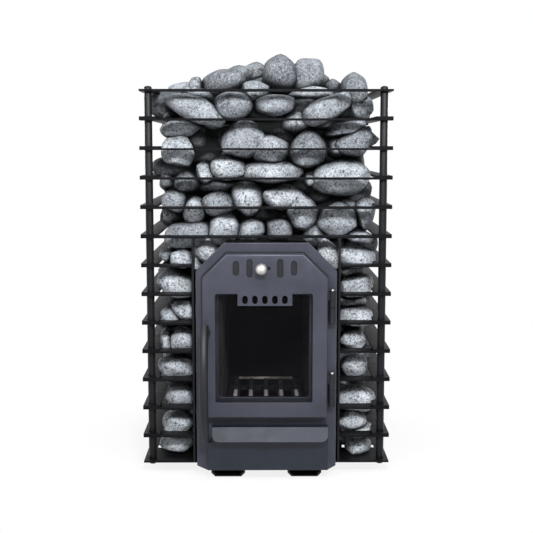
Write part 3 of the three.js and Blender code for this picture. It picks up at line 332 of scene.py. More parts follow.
@dataclass(frozen=True)
class GraniteFinish:
    """Rounded granite: grey, peppered with dark and light grains, each stone of its own tone, with painted
    shade in its crevices and on the stones behind.
    """

    name: str = "peppered granite"
    tone: str = "stone_tone"
    lit: str = "stone_lit"
    cloud: Grain = Grain(34, 6, 0.62, (0.34, 0.66))
    low: str = "8c939b"
    high: str = "cad1d9"
    dark_stone: Layer = Layer("52575d", (0.0, 0.6), (0.66, 0.0))
    pale_stone: Layer = Layer("e0e5ea", (0.4, 1.0), (0.0, 0.4))
    pale: Grain = Grain(280, 4, 0.65)
    pale_grain: Layer = Layer("f0f3f6", (0.52, 0.66), (0.0, 0.5))
    dark: Grain = Grain(150, 6, 0.72)
    dark_grain: Layer = Layer("272a2f", (0.53, 0.63), (0.0, 0.85))
    pepper: Grain = Grain(270, 3, 0.6, (0.49, 0.62))
    pepper_code: str = "393d42"
    pepper_tones: Range = (0.0, 0.9)
    pepper_shares: Range = (0.3, 0.7)
    # The soot colour is painted shade: the near-black that the crevices and the stones behind are darkened
    # to.
    soot: str = "0b0c0d"
    crevice: float = 50 * MM
    crevice_samples: int = 8
    crevice_span: Range = (0.4, 0.92)
    crevice_lit: Range = (0.04, 1.0)
    rough_span: Range = (0.4, 0.7)
    roughness: Range = (0.7, 0.9)
    gloss: float = 0.15
    pits: Grain = Grain(70, 7, 0.68)
    grain_pits: float = 0.45
    pit_depth: float = 3.2 * MM
    pit_strength: float = 0.75

    def make(self) -> Material:
        """Builds the material.

        Returns:
            The granite material.
        """
        sheet = SurfaceSheet(self.name)
        labels = ({"attribute_name": label} for label in (self.tone, self.lit))
        own, lit = (sheet.add("ShaderNodeAttribute", label).outputs["Fac"] for label in labels)
        body = sheet.tint(sheet.noise(self.cloud), self.cloud.span, self.low, self.high)
        for layer in (self.dark_stone, self.pale_stone):
            body = sheet.lay(body, layer, own)
        dark = sheet.noise(self.dark)
        body = sheet.lay(body, self.pale_grain, sheet.noise(self.pale))
        body = sheet.lay(body, self.dark_grain, dark)
        pepper = sheet.between(sheet.noise(self.pepper), self.pepper.span)
        share = sheet.between(own, self.pepper_tones, self.pepper_shares)
        body = sheet.blend(sheet.math("MULTIPLY", pepper, share), body, colour(self.pepper_code))
        # Painted shade: ambient occlusion darkens the crevices, and the lit share darkens the stones behind
        # and the heap, towards the soot colour.
        sampling = {"samples": self.crevice_samples, "only_local": True}
        open_to = sheet.add("ShaderNodeAmbientOcclusion", sampling, Distance=self.crevice).outputs["AO"]
        unshaded = sheet.between(open_to, self.crevice_span, self.crevice_lit)
        body = sheet.blend(sheet.math("MULTIPLY", lit, unshaded), colour(self.soot), body)
        roughness = sheet.between(dark, self.rough_span, self.roughness)
        sheet.dress(Base_Color=body, Roughness=roughness, Specular_IOR_Level=self.gloss)
        grains = sheet.math("MULTIPLY", dark, self.grain_pits)
        pits = sheet.math("SUBTRACT", sheet.noise(self.pits), grains)
        sheet.relief(pits, self.pit_depth, self.pit_strength)
        return sheet.material


@dataclass(frozen=True)
class RoughFinish:
    """A dull mineral or cast surface with grain."""

    name: str
    low: str
    high: str
    roughness: float
    metallic: float = 0.0
    grain: Grain = Grain(240, 4)
    depth: float = 0.8 * MM
    strength: float = 0.5
    cloud: Grain = Grain(22, 6, span=(0.35, 0.65))

    def make(self) -> Material:
        """Builds the material.

        Returns:
            The rough material.
        """
        sheet = SurfaceSheet(self.name)
        cloud = sheet.noise(self.cloud)
        sheet.dress(Base_Color=sheet.tint(cloud, self.cloud.span, self.low, self.high))
        sheet.dress(Roughness=self.roughness, Metallic=self.metallic)
        sheet.relief(sheet.noise(self.grain), self.depth, self.strength)
        return sheet.material


@dataclass(frozen=True)
class GlassFinish:
    """Heat-resistant glass with a faint film of soot."""

    name: str = "stove glass"
    low: str = "121215"
    high: str = "1d1d21"
    film: Grain = Grain(14, 4, span=(0.35, 0.65))
    cover: Range = (0.14, 0.2)
    roughness: float = 0.04
    bending: float = 1.47
    gloss: float = 0.05

    def make(self) -> Material:
        """Builds the material.

        Returns:
            The glass material.
        """
        sheet = SurfaceSheet(self.name)
        film = sheet.noise(self.film)
        sheet.dress(Base_Color=sheet.blend(film, colour(self.low), colour(self.high)))
        sheet.dress(Alpha=sheet.between(film, self.film.span, self.cover))
        sheet.dress(Roughness=self.roughness, IOR=self.bending, Specular_IOR_Level=self.gloss)
        return sheet.material


FIBRE = Grain(900, 4)
FIBRE_DEPTH = 0.6 * MM
FINISHES = {
    Slot.CAGE: PaintFinish("black cage paint", "0d0d0f", "151518", (0.42, 0.54), 0.06),
    Slot.DOOR: PaintFinish("charcoal door paint", "31333c", "3e404c", (0.34, 0.44), 0.32),
    Slot.BOX: PaintFinish("sooty black steel", "1b1b1d", "29292c", (0.6, 0.78), peel_strength=0.25),
    Slot.STEEL: SteelFinish(),
    Slot.IRON: RoughFinish("cast iron", "36363a", "58585d", 0.55, 0.7),
    Slot.BRICK: RoughFinish("sooted firebrick", "110f0f", "201e1d", 0.95, 0.0, Grain(60, 4), 0.6 * MM),
    Slot.GLASS: GlassFinish(),
    Slot.SEAL: RoughFinish("glass-fibre tape", "303030", "4f4f4f", 0.95, 0.0, FIBRE, FIBRE_DEPTH),
    Slot.GRANITE: GraniteFinish(),
}
POST_PAINT = PaintFinish("black post paint", "121214", "1c1d21", (0.36, 0.46), 0.2)
SATIN_PAINT = PaintFinish("satin black paint", "15161a", "202127", (0.38, 0.48), 0.34)
# Painted shade: the front plate is a little darker than the door, for the shade beside the door.
PLATE_SHADE_PAINT = PaintFinish("plate paint darkened as painted shade", "2d2f38", "3a3c48", (0.36, 0.46), 0.4)
# Painted shade: the drawer front is darker than the door, for the shade under the door and the lip.
DRAWER_SHADE_PAINT = PaintFinish("drawer paint darkened as painted shade", "0c121c", "171e2c", (0.38, 0.48), 0.52)
# Partly worn metal, partly painted light: pale caps on the front of the ribs, where light through the glass
# falls.
WORN_AND_LIT_RIBS = RoughFinish("worn and lit grate ribs", "c0bcb6", "e8e5e0", 0.4)
# Painted highlight: a patchy pale bar across the grate, for light caught at its back.
LIT_GRATE_BAR = RoughFinish("grate bar with painted light", "1a1916", "e6ddcf", 0.5)
# Partly soot, partly painted shade: a near-black rope for the dark gap round the door.
SOOTY_SHADED_ROPE = RoughFinish("sooty and shaded rope seal", "070707", "131313", 0.95, 0.0, FIBRE, FIBRE_DEPTH)
DULL_POLISH = SteelFinish("dull polished steel", (0.44, 0.54))


class Workshop:
    """The finishes, made once, and the last step of every piece."""

    def __init__(self) -> None:
        """Makes the finishes that several pieces share."""
        self.finishes = {slot: maker.make() for slot, maker in FINISHES.items()}
        self.post = POST_PAINT.make()
        self.satin = SATIN_PAINT.make()

    def hand_over(
        self, piece: Piece, body: Body, slot: Slot, *nodes: str, finish: Material | None = None
    ) -> None:
        """Gives a piece its finish and its body, and hides the solids that it stands for.

        Args:
            piece: the finished object, its place in its mesh.
            body: what it moves with.
            slot: the record's material slot.
            nodes: the solids that it replaces.
            finish: a finish of its own in place of the slot's.
        """
        piece.data.materials.clear()
        piece.data.materials.append(finish or self.finishes[slot])
        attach(piece, body.value)
        if nodes:
            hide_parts(*nodes)
        LOG.info("%s: %d faces on %s", piece.name, len(piece.data.polygons), body.value)

    def sheet(
        self, node: str, edge: float, body: Body, slot: Slot, name: str = "", finish: Material | None = None
    ) -> None:
        """Makes a sheet-metal piece after a solid and hands it over.

        Args:
            node: the solid that it follows and replaces.
            edge: the rounding of its edges, in metres.
            body: what it moves with.
            slot: the record's material slot.
            name: its name, where it isn't the solid's name marked as finished.
            finish: a finish of its own in place of the slot's.
        """
        piece = sheet_piece(name or f"finished_{node}", edge, node)
        self.hand_over(piece, body, slot, node, finish=finish)


def new_object(name: str, data: bpy.types.ID) -> Piece:
    """Puts a mesh, a curve, a light or a camera into the scene at the origin.

    Args:
        name: the object's name.
        data: what it shows.

    Returns:
        The new object.
    """
    piece = bpy.data.objects.new(name, data)
    bpy.context.scene.collection.objects.link(piece)
    return piece


def smooth(mesh: Mesh) -> None:
    """Shades a mesh smooth, with its sharp folds kept."""
    mesh.shade_smooth()
    mesh.set_sharp_from_angle(angle=SMOOTH_ANGLE)


def object_of(name: str, form: Form) -> Piece:
    """Turns an edited mesh into a smooth-shaded object and frees it.

    Args:
        name: the object's name.
        form: the edited mesh, in metres.

    Returns:
        The new object.
    """
    mesh = bpy.data.meshes.new(name)
    form.to_mesh(mesh)
    form.free()
    smooth(mesh)
    return new_object(name, mesh)


def plain_mesh(piece: Piece) -> Mesh:
    """The mesh that an object shows, with its modifiers applied."""
    evaluated = piece.evaluated_get(bpy.context.evaluated_depsgraph_get())
    return bpy.data.meshes.new_from_object(evaluated)


def settle(piece: Piece) -> Piece:
    """Applies an object's modifiers to its mesh.

    Args:
        piece: an object with modifiers.

    Returns:
        The same object, with a plain mesh.
    """
    mesh = plain_mesh(piece)
    mesh.name = piece.name
    piece.modifiers.clear()
    piece.data = mesh
    return piece


def solid_copy(node: str) -> Form:
    """An editable copy of a solid of the frame, with flat faces in one piece.

    Args:
        node: the solid's name.

    Returns:
        The merged copy.
    """
    form = bmesh.new()
    form.from_mesh(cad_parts[node].data)
    bmesh.ops.remove_doubles(form, verts=form.verts, dist=MERGE)
    bmesh.ops.dissolve_limit(form, angle_limit=FLAT_ANGLE, verts=form.verts, edges=form.edges)
    return form


def soften(piece: Piece, width: float, steps: int = 2) -> Piece:
    """Rounds the folds and cut edges of a piece of sheet metal.

    Args:
        piece: the object to soften.
        width: how wide the rounding is, in metres.
        steps: flats across the rounding.

    Returns:
        The same object, with a plain mesh.
    """
    bevel = piece.modifiers.new("rounded edges", "BEVEL")
    bevel.width = width
    bevel.segments = steps
    bevel.limit_method = "ANGLE"
    bevel.angle_limit = FOLD_ANGLE
    bevel.harden_normals = True
    return settle(piece)


def sheet_piece(name: str, width: float, node: str) -> Piece:
    """A sheet-metal piece after a solid of the frame, with softened edges."""
    return soften(object_of(name, solid_copy(node)), width)


def add_ring(
    form: Form, middle: Vector, across: Vector, upward: Vector, radius: float, sides: int
) -> list[bmesh.types.BMVert]:
    """Adds a ring of corners about a point, or the point alone where the radius is nothing.

    Args:
        form: the mesh to add to.
        middle: the point.
        across: direction of the first corner.
        upward: the direction a quarter turn on.
        radius: of the ring.
        sides: corners of the ring.

    Returns:
        The new corners.
    """
    if radius < MERGE:
        return [form.verts.new(middle)]
    turns = [2 * math.pi * i / sides for i in range(sides)]
    return [form.verts.new(middle + radius * (math.cos(t) * across + math.sin(t) * upward)) for t in turns]


def bridge(form: Form, rings: list[list[bmesh.types.BMVert]], sides: int) -> None:
    """Joins rings of corners to a skin, one after the other.

    Args:
        form: the mesh to add to.
        rings: the rings in order, of one corner each where the skin closes to a point.
        sides: corners of a full ring.
    """
    for below, above in zip(rings, rings[1:]):
        for i in range(sides):
            j = (i + 1) % sides
            lower = [below[i % len(below)], below[j % len(below)]]
            upper = [above[j % len(above)], above[i % len(above)]]
            form.faces.new(list(dict.fromkeys(lower + upper)))


def turned(form: Form, profile: Profile, where: Matrix, sides: int) -> None:
    """Adds a turned body to an edited mesh.

    Args:
        form: the mesh to add to.
        profile: radius and height of each step, from the lower end to the upper one.
        where: carries the local z axis to the body's axis.
        sides: flats round the body.
    """
    across, upward = (where.to_3x3().col[axis].copy() for axis in range(2))
    rings = []
    for radius, height in profile:
        middle = where @ Vector((0, 0, height))
        rings.append(add_ring(form, middle, across, upward, radius, sides))
    bridge(form, rings, sides)
    bmesh.ops.remove_doubles(form, verts=form.verts, dist=MERGE)


def turned_piece(name: str, profile: Profile, where: Matrix, sides: int) -> Piece:
    """A turned body as a piece of its own.

    Args:
        name: the piece's name.
        profile: radius and height of each step, from the lower end to the upper one.
        where: carries the local z axis to the body's axis.
        sides: flats round the body.

    Returns:
        The new object.
    """
    form = bmesh.new()
    turned(form, profile, where, sides)
    bmesh.ops.recalc_face_normals(form, faces=form.faces)
    return object_of(name, form)


def add_block(form: Form, middle: Vector, size: Vector) -> None:
    """Adds a box to an edited mesh."""
    where = Matrix.Translation(middle) @ Matrix.Diagonal((*size, 1.0))
    bmesh.ops.create_cube(form, size=1.0, matrix=where)


def along_y(x: float, y: float, z: float) -> Matrix:
    """Carries the local z axis to a level axis that runs backwards from a point."""
    return Matrix.Translation((x, y, z)) @ Matrix.Rotation(-math.pi / 2, 4, "X")


def dome(radius: float, height: float, rise: float, upward: bool, steps: int = 4) -> Profile:
    """The profile of a domed end.

    Args:
        radius: the bar's radius.
        height: where the dome springs from.
        rise: how far it stands out.
        upward: whether it is the upper end.
        steps: flats from the edge to the tip.

    Returns:
        Steps of radius and height, in the order of rising height.
    """
    out = rise if upward else -rise
    angles = [math.pi / 2 * i / steps for i in range(steps)]
    profile = [(radius * math.cos(angle), height + out * math.sin(angle)) for angle in angles]
    profile.append((0.0, height + out))
    return profile if upward else profile[::-1]


def box_of(node: str) -> tuple[Vector, Vector]:
    """A solid's lowest and highest corners, in metres."""
    low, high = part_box(node)
    return Vector(low), Vector(high)


def middle_of(node: str) -> Vector:
    """The middle of a solid's box."""
    low, high = box_of(node)
    return (low + high) / 2


def upright(node: str) -> Matrix:
    """Carries the local z axis to the upright axis of a solid's box."""
    middle = middle_of(node)
    return Matrix.Translation((middle.x, middle.y, 0))


class GeometrySheet(NodeSheet):
    """A geometry tree with named inputs, which ends in plain faces with a finish."""

    def __init__(self, name: str, **inputs: str) -> None:
        """Starts a tree.

        Args:
            name: the tree's name.
            inputs: the socket kind of each named input, with underscores for spaces.
        """
        super().__init__(bpy.data.node_groups.new(name, "GeometryNodeTree"))
        kinds = {"Geometry": "Geometry", **inputs, "Finish": "Material"}
        for label, kind in kinds.items():
            title = label.replace("_", " ")
            self.tree.interface.new_socket(title, in_out="INPUT", socket_type=f"NodeSocket{kind}")
        self.tree.interface.new_socket("Geometry", in_out="OUTPUT", socket_type="NodeSocketGeometry")
        self.given = self.add("NodeGroupInput").outputs

    def attribute(self, name: str, kind: str) -> Socket:
        """Reads a named attribute of the points."""
        return self.out("GeometryNodeInputNamedAttribute", {"data_type": kind}, Name=name)

    def end(self, faces: Socket) -> None:
        """Gives the faces the finish and ends the tree."""
        dressed = self.out("GeometryNodeSetMaterial", Geometry=faces, Material=self.given["Finish"])
        self.add("NodeGroupOutput", Geometry=dressed)

    def apply(self, piece: Piece, **values: object) -> Piece:
        """Runs the tree on an object and keeps the plain mesh.

        Args:
            piece: the object.
            values: the named inputs, with underscores for spaces.

        Returns:
            The same object, with a plain mesh.
        """
        modifier = piece.modifiers.new(self.tree.name, "NODES")
        modifier.node_group = self.tree
        for item in self.tree.interface.items_tree:
            label = item.name.replace(" ", "_")
            if item.in_out == "INPUT" and label in values:
                modifier[item.identifier] = values[label]
        return settle(piece)


@dataclass(frozen=True)
class Stone:
    """One stone: its middle, its size, its tilt about y and its turn about z, in metres and degrees."""

    at: Point
    size: Point
    tilt: float = 0.0
    turn: float = 0.0


def scatter(index: int) -> float:
    """A repeatable number from 0 to 1 for each whole number."""
    value = math.sin(index * SCATTER_STEP + SCATTER_START) * SCATTER_REACH
    return value - math.floor(value)


def vary(index: int, limits: Range) -> float:
    """A repeatable number between two limits."""
    low, high = limits
    return low + (high - low) * scatter(index)


# Stones of the front, as they lie, in millimetres: x, z, width, height, tilt, distance set back
FRONT_STONES = (
    (-145, 756, 132, 49, 22, 0), (-138, 786, 75, 29, 15, 35), (-66, 766, 87, 61, 0, 0),
    (16, 764, 87, 47, -3, 0), (92, 789, 97, 33, 0, 40), (126, 758, 111, 51, -24, 0),
    (209, 764, 42, 54, 0, 45), (-207, 749, 51, 38, 0, 45), (-179, 718, 92, 41, -4, 15),
    (61, 726, 63, 56, 0, 25), (-109, 728, 76, 37, 0, 35), (118, 731, 71, 37, 0, 35),
    (164, 716, 87, 35, -10, 10), (-183, 670, 75, 74, -10, 0), (-48, 691, 95, 82, -10, 0),
    (8, 674, 83, 64, 8, 0), (89, 672, 83, 82, 0, 0), (146, 676, 42, 46, 0, 20),
    (201, 687, 87, 62, -30, 0), (-128, 627, 42, 54, 0, 10), (-81, 635, 73, 56, 0, 0),
    (14, 627, 129, 50, 3, 0), (160, 614, 125, 83, 3, 0), (-63, 664, 71, 38, 0, 30),
    (95, 609, 34, 38, 0, 25), (-169, 606, 54, 50, 0, 10), (-209, 605, 34, 46, 0, 30),
    (-192, 569, 58, 52, 5, 0), (-149, 550, 52, 59, 0, 5), (-101, 597, 93, 34, 0, 30),
    (-98, 560, 65, 54, 0, 0), (-36, 571, 71, 79, 0, 0), (35, 575, 92, 58, 3, 0),
    (77, 546, 67, 88, -14, 0), (148, 531, 90, 80, 0, 0), (179, 555, 46, 38, 0, 25),
    (211, 538, 42, 72, 0, 20), (-166, 498, 100, 57, -12, 0), (-90, 514, 69, 75, 0, 0),
    (-34, 508, 71, 57, -8, 0), (25, 506, 61, 61, 0, 0), (103, 494, 46, 51, 0, 15),
    (216, 491, 63, 34, 10, 20), (-196, 533, 47, 43, 0, 40), (-124, 462, 55, 57, 0, 0),
    (-146, 437, 25, 42, 0, 10), (132, 455, 46, 80, -38, 0), (-174, 447, 59, 49, 0, 0),
    (-214, 451, 38, 32, 15, 20), (-196, 392, 80, 57, 20, 0), (-173, 341, 57, 49, 10, 0),
    (-204, 323, 42, 47, -10, 5), (-211, 273, 28, 52, 0, 10), (-178, 272, 49, 56, -10, 0),
    (-196, 212, 87, 50, 3, 0), (-182, 153, 62, 55, 8, 0), (-189, 94, 68, 51, 0, 0),
    (-193, 52, 73, 44, 0, 0), (193, 451, 84, 51, 3, 0), (191, 390, 78, 55, -8, 0),
    (183, 355, 64, 30, 0, 20), (188, 321, 74, 51, 5, 0), (182, 278, 62, 54, 0, 0),
    (187, 220, 60, 59, 10, 0), (188, 146, 81, 57, 5, 0), (177, 102, 71, 46, -8, 0),
    (204, 76, 52, 35, -15, 5), (197, 45, 58, 44, 0, 0),
)

# Heaped stones at the front, in millimetres: x, z, width, height, tilt, y from the cage's middle
FRONT_HEAP = (
    (-148, 801, 31, 45, 0, -160), (-90, 812, 92, 54, -8, -150), (-56, 831, 104, 56, -4, -70),
    (-21, 834, 56, 51, 0, -70), (-21, 790, 58, 53, 0, -175), (28, 829, 70, 87, 0, -130),
    (86, 822, 78, 88, 5, -120), (141, 799, 47, 46, 0, -110), (185, 797, 57, 75, 0, -150),
)


@dataclass
class StoneBeds:
    """The stones: a front layer laid as it is seen, courses at the sides and back, and the heap."""

    depth: float = 62 * MM
    overrun: float = 8 * MM
    course_height: float = 60 * MM
    course_pitch: float = 88 * MM
    widths: Range = (0.86, 1.18)
    heights: Range = (0.86, 1.22)
    shifts: Range = (-0.12, 0.12)
    insets: Range = (0.0, 12 * MM)
    bond_shift: float = 0.18
    tilts: Range = (-25.0, 25.0)
    heap_widths: Range = (0.95, 1.25)
    heap_depths: Range = (0.85, 1.1)
    heap_shifts: Range = (-8 * MM, 8 * MM)
    heap_turns: Range = (0.0, 180.0)
    heap_drop: float = 28 * MM
    heap_rise: float = 72 * MM
    heap_sink: float = 14 * MM
    core_recess: float = 56 * MM
    core_cells: int = 6
    second_layer: float = 38 * MM
    # Painted shade: the stones behind take seven tenths of the painted shade colour.
    inner_lit: float = 0.3
    # Painted light: the stones beside the firebox are paler, for light that the bars keep off them.
    side_tones: Range = (0.5, 1.0)
    upper_tones: Range = (0.0, 0.75)
    # Painted shade: the heap's stones are darker in tone and take a fifth of the painted shade colour,
    # against the light from above.
    heap_tones: Range = (0.0, 0.3)
    heap_lit: float = 0.8
    heap_seed: int = 5000
    inner_front_seed: int = 17100
    outer_seed: int = 100
    inner_seed: int = 9100
    face_step: int = 2000
    row_step: int = 37
    stone_step: int = 5
    height_step: int = 7
    shape_step: int = 1000
    shapes: int = 16
    most_worn: float = 0.62
    crease: float = 0.38
    detail: int = 2
    lump_size: float = 62 * MM
    lump_height: float = 0.12
    lump_waves: float = 0.62
    lump_gain: float = 4.0
    lump_detail: float = 1.0
    lump_roughness: float = 0.4
    lump_spread: float = 60.0

    def __post_init__(self) -> None:
        """Reads the room for the stones from the frame."""
        ring_low, ring_high = box_of("top_ring")
        bed_low, bed_high = box_of("stones_left")
        crown = box_of("firebox_crown")[1]
        self.centre_y = (ring_low.y + ring_high.y) / 2
        self.top = ring_high.z
        self.ceiling = ring_low.z
        self.reach = bed_high.y - self.centre_y
        self.low = bed_low.z
        self.shelf = crown.z
        self.box_half = crown.x
        self.box_back = crown.y
        self.flue = middle_of("flue_pipe")
        self.flue_radius = box_of("flue_pipe")[1].x
        self.tree = self.stone_tree()

    def stone_tree(self) -> GeometrySheet:
        """The geometry tree that turns placed points into rounded stones.

        Returns:
            The tree, with named inputs for detail, creases and lumps.
        """
        inputs = {"Detail": "Int", "Crease": "Float", "Lump_size": "Float", "Lump_height": "Float"}
        sheet = GeometrySheet("rounded stones", **inputs)
        given = sheet.given
        where = sheet.out("GeometryNodeInputPosition")
        shapes = sheet.add("GeometryNodeJoinGeometry")
        for shape in range(self.shapes):
            ball = sheet.out("GeometryNodeMeshIcoSphere", Radius=0.5, Subdivisions=1 + shape % 2)
            worn = sheet.out("FunctionNodeRandomValue", Min=self.most_worn, Max=1.0, Seed=shape)
            pull = sheet.vector("SCALE", where, worn)
            knocked = sheet.out("GeometryNodeSetPosition", Geometry=ball, Position=pull)
            rounded = sheet.out(
                "GeometryNodeSubdivisionSurface",
                Mesh=sheet.out("GeometryNodeConvexHull", Geometry=knocked),
                Level=given["Detail"],
                Edge_Crease=given["Crease"],
            )
            box = sheet.add("GeometryNodeBoundBox", Geometry=rounded).outputs
            middle = sheet.vector("SCALE", sheet.vector("ADD", box["Min"], box["Max"]), 0.5)
            size = sheet.vector("SUBTRACT", box["Max"], box["Min"])
            even = sheet.vector("DIVIDE", sheet.vector("SUBTRACT", where, middle), size)
            full = sheet.out("GeometryNodeSetPosition", Geometry=rounded, Position=even)
            sheet.fill(shapes.inputs[0], sheet.out("GeometryNodeGeometryToInstance", Geometry=full))
        turn = sheet.attribute("stone_turn", "FLOAT_VECTOR")
        placed = sheet.out(
            "GeometryNodeInstanceOnPoints",
            Points=given["Geometry"],
            Instance=shapes.outputs[0],
            Pick_Instance=True,
            Instance_Index=sheet.attribute("stone_shape", "INT"),
            Rotation=sheet.out("FunctionNodeEulerToRotation", Euler=turn),
            Scale=sheet.attribute("stone_size", "FLOAT_VECTOR"),
        )
        loose = sheet.out("GeometryNodeRealizeInstances", Geometry=placed)
        lumps = sheet.out(
            "ShaderNodeTexNoise",
            {"noise_dimensions": "4D"},
            Vector=where,
            W=sheet.math("MULTIPLY", sheet.attribute("stone_tone", "FLOAT"), self.lump_spread),
            Scale=sheet.math("DIVIDE", self.lump_waves, given["Lump size"]),
            Detail=self.lump_detail,
            Roughness=self.lump_roughness,
        )
        push = sheet.math("MULTIPLY", sheet.attribute("stone_girth", "FLOAT"), given["Lump height"])
        push = sheet.math("MULTIPLY", sheet.math("SUBTRACT", lumps, 0.5), push)
        push = sheet.math("MULTIPLY", push, self.lump_gain)
        offset = sheet.vector("SCALE", sheet.out("GeometryNodeInputNormal"), push)
        lumpy = sheet.out("GeometryNodeSetPosition", Geometry=loose, Offset=offset)
        sheet.end(sheet.out("GeometryNodeSetShadeSmooth", Geometry=lumpy))
        return sheet

    def tone_of(self, stone: Stone, mark: float) -> float:
        """How pale a stone is, from 0 to 1: its own tone at random within bands of painted light and shade,
        palest beside the firebox, darkest in the heap.

        Args:
            stone: the stone.
            mark: its own repeatable number from 0 to 1.

        Returns:
            The tone.
        """
        z = stone.at[2]
        above = self.upper_tones if z < self.top else self.heap_tones
        low, high = self.side_tones if z < self.shelf else above
        return low + (high - low) * mark

    def stones_mesh(self, name: str, stones: list[Stone], detail: int, lit: float, finish: Material) -> Mesh:
        """Makes a plain mesh of stones.

        Args:
            name: the mesh's name.
            stones: where they lie.
            detail: subdivisions of each stone.
            lit: 1 for the outer stones, less for the stones behind, which take painted shade.
            finish: their material.

        Returns:
            The mesh, each stone with its own tone.
        """
        points = bpy.data.meshes.new(name)
        points.from_pydata([stone.at for stone in stones], [], [])
        places = [(round(stone.at[0] / MM), round(stone.at[2] / MM)) for stone in stones]
        marks = [scatter(x + self.height_step * z) for x, z in places]
        shape = points.attributes.new("stone_shape", "INT", "POINT")
        shape.data.foreach_set("value", [int(mark * self.shape_step) % self.shapes for mark in marks])
        turns = [(0.0, math.radians(stone.tilt), math.radians(stone.turn)) for stone in stones]
        fields = {
            "stone_size": [stone.size for stone in stones],
            "stone_turn": turns,
            "stone_tone": [(self.tone_of(stone, mark),) for stone, mark in zip(stones, marks)],
            # Painted shade: each stone's lit share, smaller for the heap's stones.
            "stone_lit": [(lit * (self.heap_lit if stone.at[2] > self.top else 1.0),) for stone in stones],
            "stone_girth": [(min(stone.size),) for stone in stones],
        }
        for label, rows in fields.items():
            kind, key = ("FLOAT_VECTOR", "vector") if len(rows[0]) > 1 else ("FLOAT", "value")
            held = points.attributes.new(label, kind, "POINT")
            held.data.foreach_set(key, [number for row in rows for number in row])
        maker = new_object(name, points)
        lumps = {"Lump_size": self.lump_size, "Lump_height": self.lump_height}
        mesh = self.tree.apply(maker, Detail=detail, Crease=self.crease, Finish=finish, **lumps).data
        bpy.data.objects.remove(maker)
        return mesh

    def front(self) -> list[Stone]:
        """The front layer, kept inside the bars at its sides.

        Returns:
            The stones.
        """
        stones = []
        for x, z, width, height, tilt, back in FRONT_STONES:
            limit = self.reach + self.overrun - width * MM / 2
            inside = max(-limit, min(limit, x * MM))
            y = self.centre_y - self.reach + self.depth / 2 + back * MM
            stones.append(Stone((inside, y, z * MM), (width * MM, self.depth, height * MM), tilt))
        return stones

    def front_heap(self) -> list[Stone]:
        """The heap's front stones, as they lie.

        Returns:
            The stones.
        """
        stones = []
        for x, z, width, height, tilt, y in FRONT_HEAP:
            size = (width * MM, (width * MM + self.depth) / 2, height * MM)
            stones.append(Stone((x * MM, self.centre_y + y * MM, z * MM), size, tilt))
        return stones

    def courses(self, seed: int, turn: float, start: float, end: float, inset: float) -> list[Stone]:
        """Stones in courses on an upright face of the cage.

        Args:
            seed: start of the repeatable numbers.
            turn: which face, in degrees about the upright axis; 0 is the front.
            start: where a course begins along the face.
            end: where it ends.
            inset: how far behind the face the stones' faces lie.

        Returns:
            The stones.
        """
        rows = round((self.ceiling - self.low) / self.course_height)
        count = round((end - start) / self.course_pitch)
        row_height = (self.ceiling - self.low) / rows
        pitch = (end - start) / count
        face = Matrix.Rotation(math.radians(turn), 3, "Z")
        stones = []
        for row in range(rows):
            for i in range(count):
                index = seed + self.row_step * row + self.stone_step * i
                bond = self.bond_shift if row % 2 else -self.bond_shift
                along = start + (i + 0.5 + bond + vary(index, self.shifts)) * pitch
                z = self.low + (row + 0.5 + vary(index + 1, self.shifts)) * row_height
                width = pitch * vary(index + 2, self.widths)
                height = row_height * vary(index + 3, self.heights)
                out = self.reach - self.depth / 2 - vary(index + 1, self.insets) - inset
                at = face @ Vector((along, -out, 0))
                where = (at.x, at.y + self.centre_y, z)
                stones.append(Stone(where, (width, self.depth, height), vary(index + 4, self.tilts), turn))
        return stones

    def mound(self, x: float, y: float) -> float:
        """Height of the heap's stones at a place that is measured from the cage's middle."""
        inward = 1 - max(abs(x), abs(y)) / self.reach
        return self.top - self.heap_drop + self.heap_rise * inward

    def heap(self, seed: int) -> list[Stone]:
        """The heap behind its front stones, lower towards the cage, each stone clear of the flue pipe.

        Args:
            seed: start of the repeatable numbers.

        Returns:
            The stones.
        """
        count = round(2 * self.reach / self.course_pitch)
        pitch = 2 * self.reach / count
        flue_y = self.flue.y - self.centre_y
        stones = []
        for i in range(count):
            for j in range(1, count):
                index = seed + self.row_step * i + self.stone_step * j
                x = (i + 0.5 + vary(index, self.shifts)) * pitch - self.reach
                y = (j + 0.5 + vary(index + 1, self.shifts)) * pitch - self.reach
                width = pitch * vary(index + 2, self.heap_widths)
                deep = pitch * vary(index + 3, self.heap_depths)
                height = self.course_height * vary(index + 4, self.heights)
                push = max(1.0, (self.flue_radius + width / 2) / math.hypot(x, y - flue_y))
                z = self.mound(x, y) + vary(index + 5, self.heap_shifts)
                where = (push * x, self.centre_y + flue_y + push * (y - flue_y), z)
                stones.append(Stone(where, (width, deep, height), 0, vary(index + 6, self.heap_turns)))
        return stones

    def bed_of(self, stone: Stone) -> str:
        """Names the bed that a stone lies in.

        Args:
            stone: the stone.

        Returns:
            The solid that the bed replaces.
        """
        x, y, z = stone.at
        if z < self.shelf:
            if y > self.box_back and abs(x) < self.box_half - self.depth:
                return "stones_back"
            return "stones_left" if x < 0 else "stones_right"
        if y < self.flue.y - self.flue_radius:
            return "stones_upper_front"
        if abs(x) < self.flue_radius:
            return "stones_upper_back"
        return "stones_upper_left" if x < 0 else "stones_upper_right"

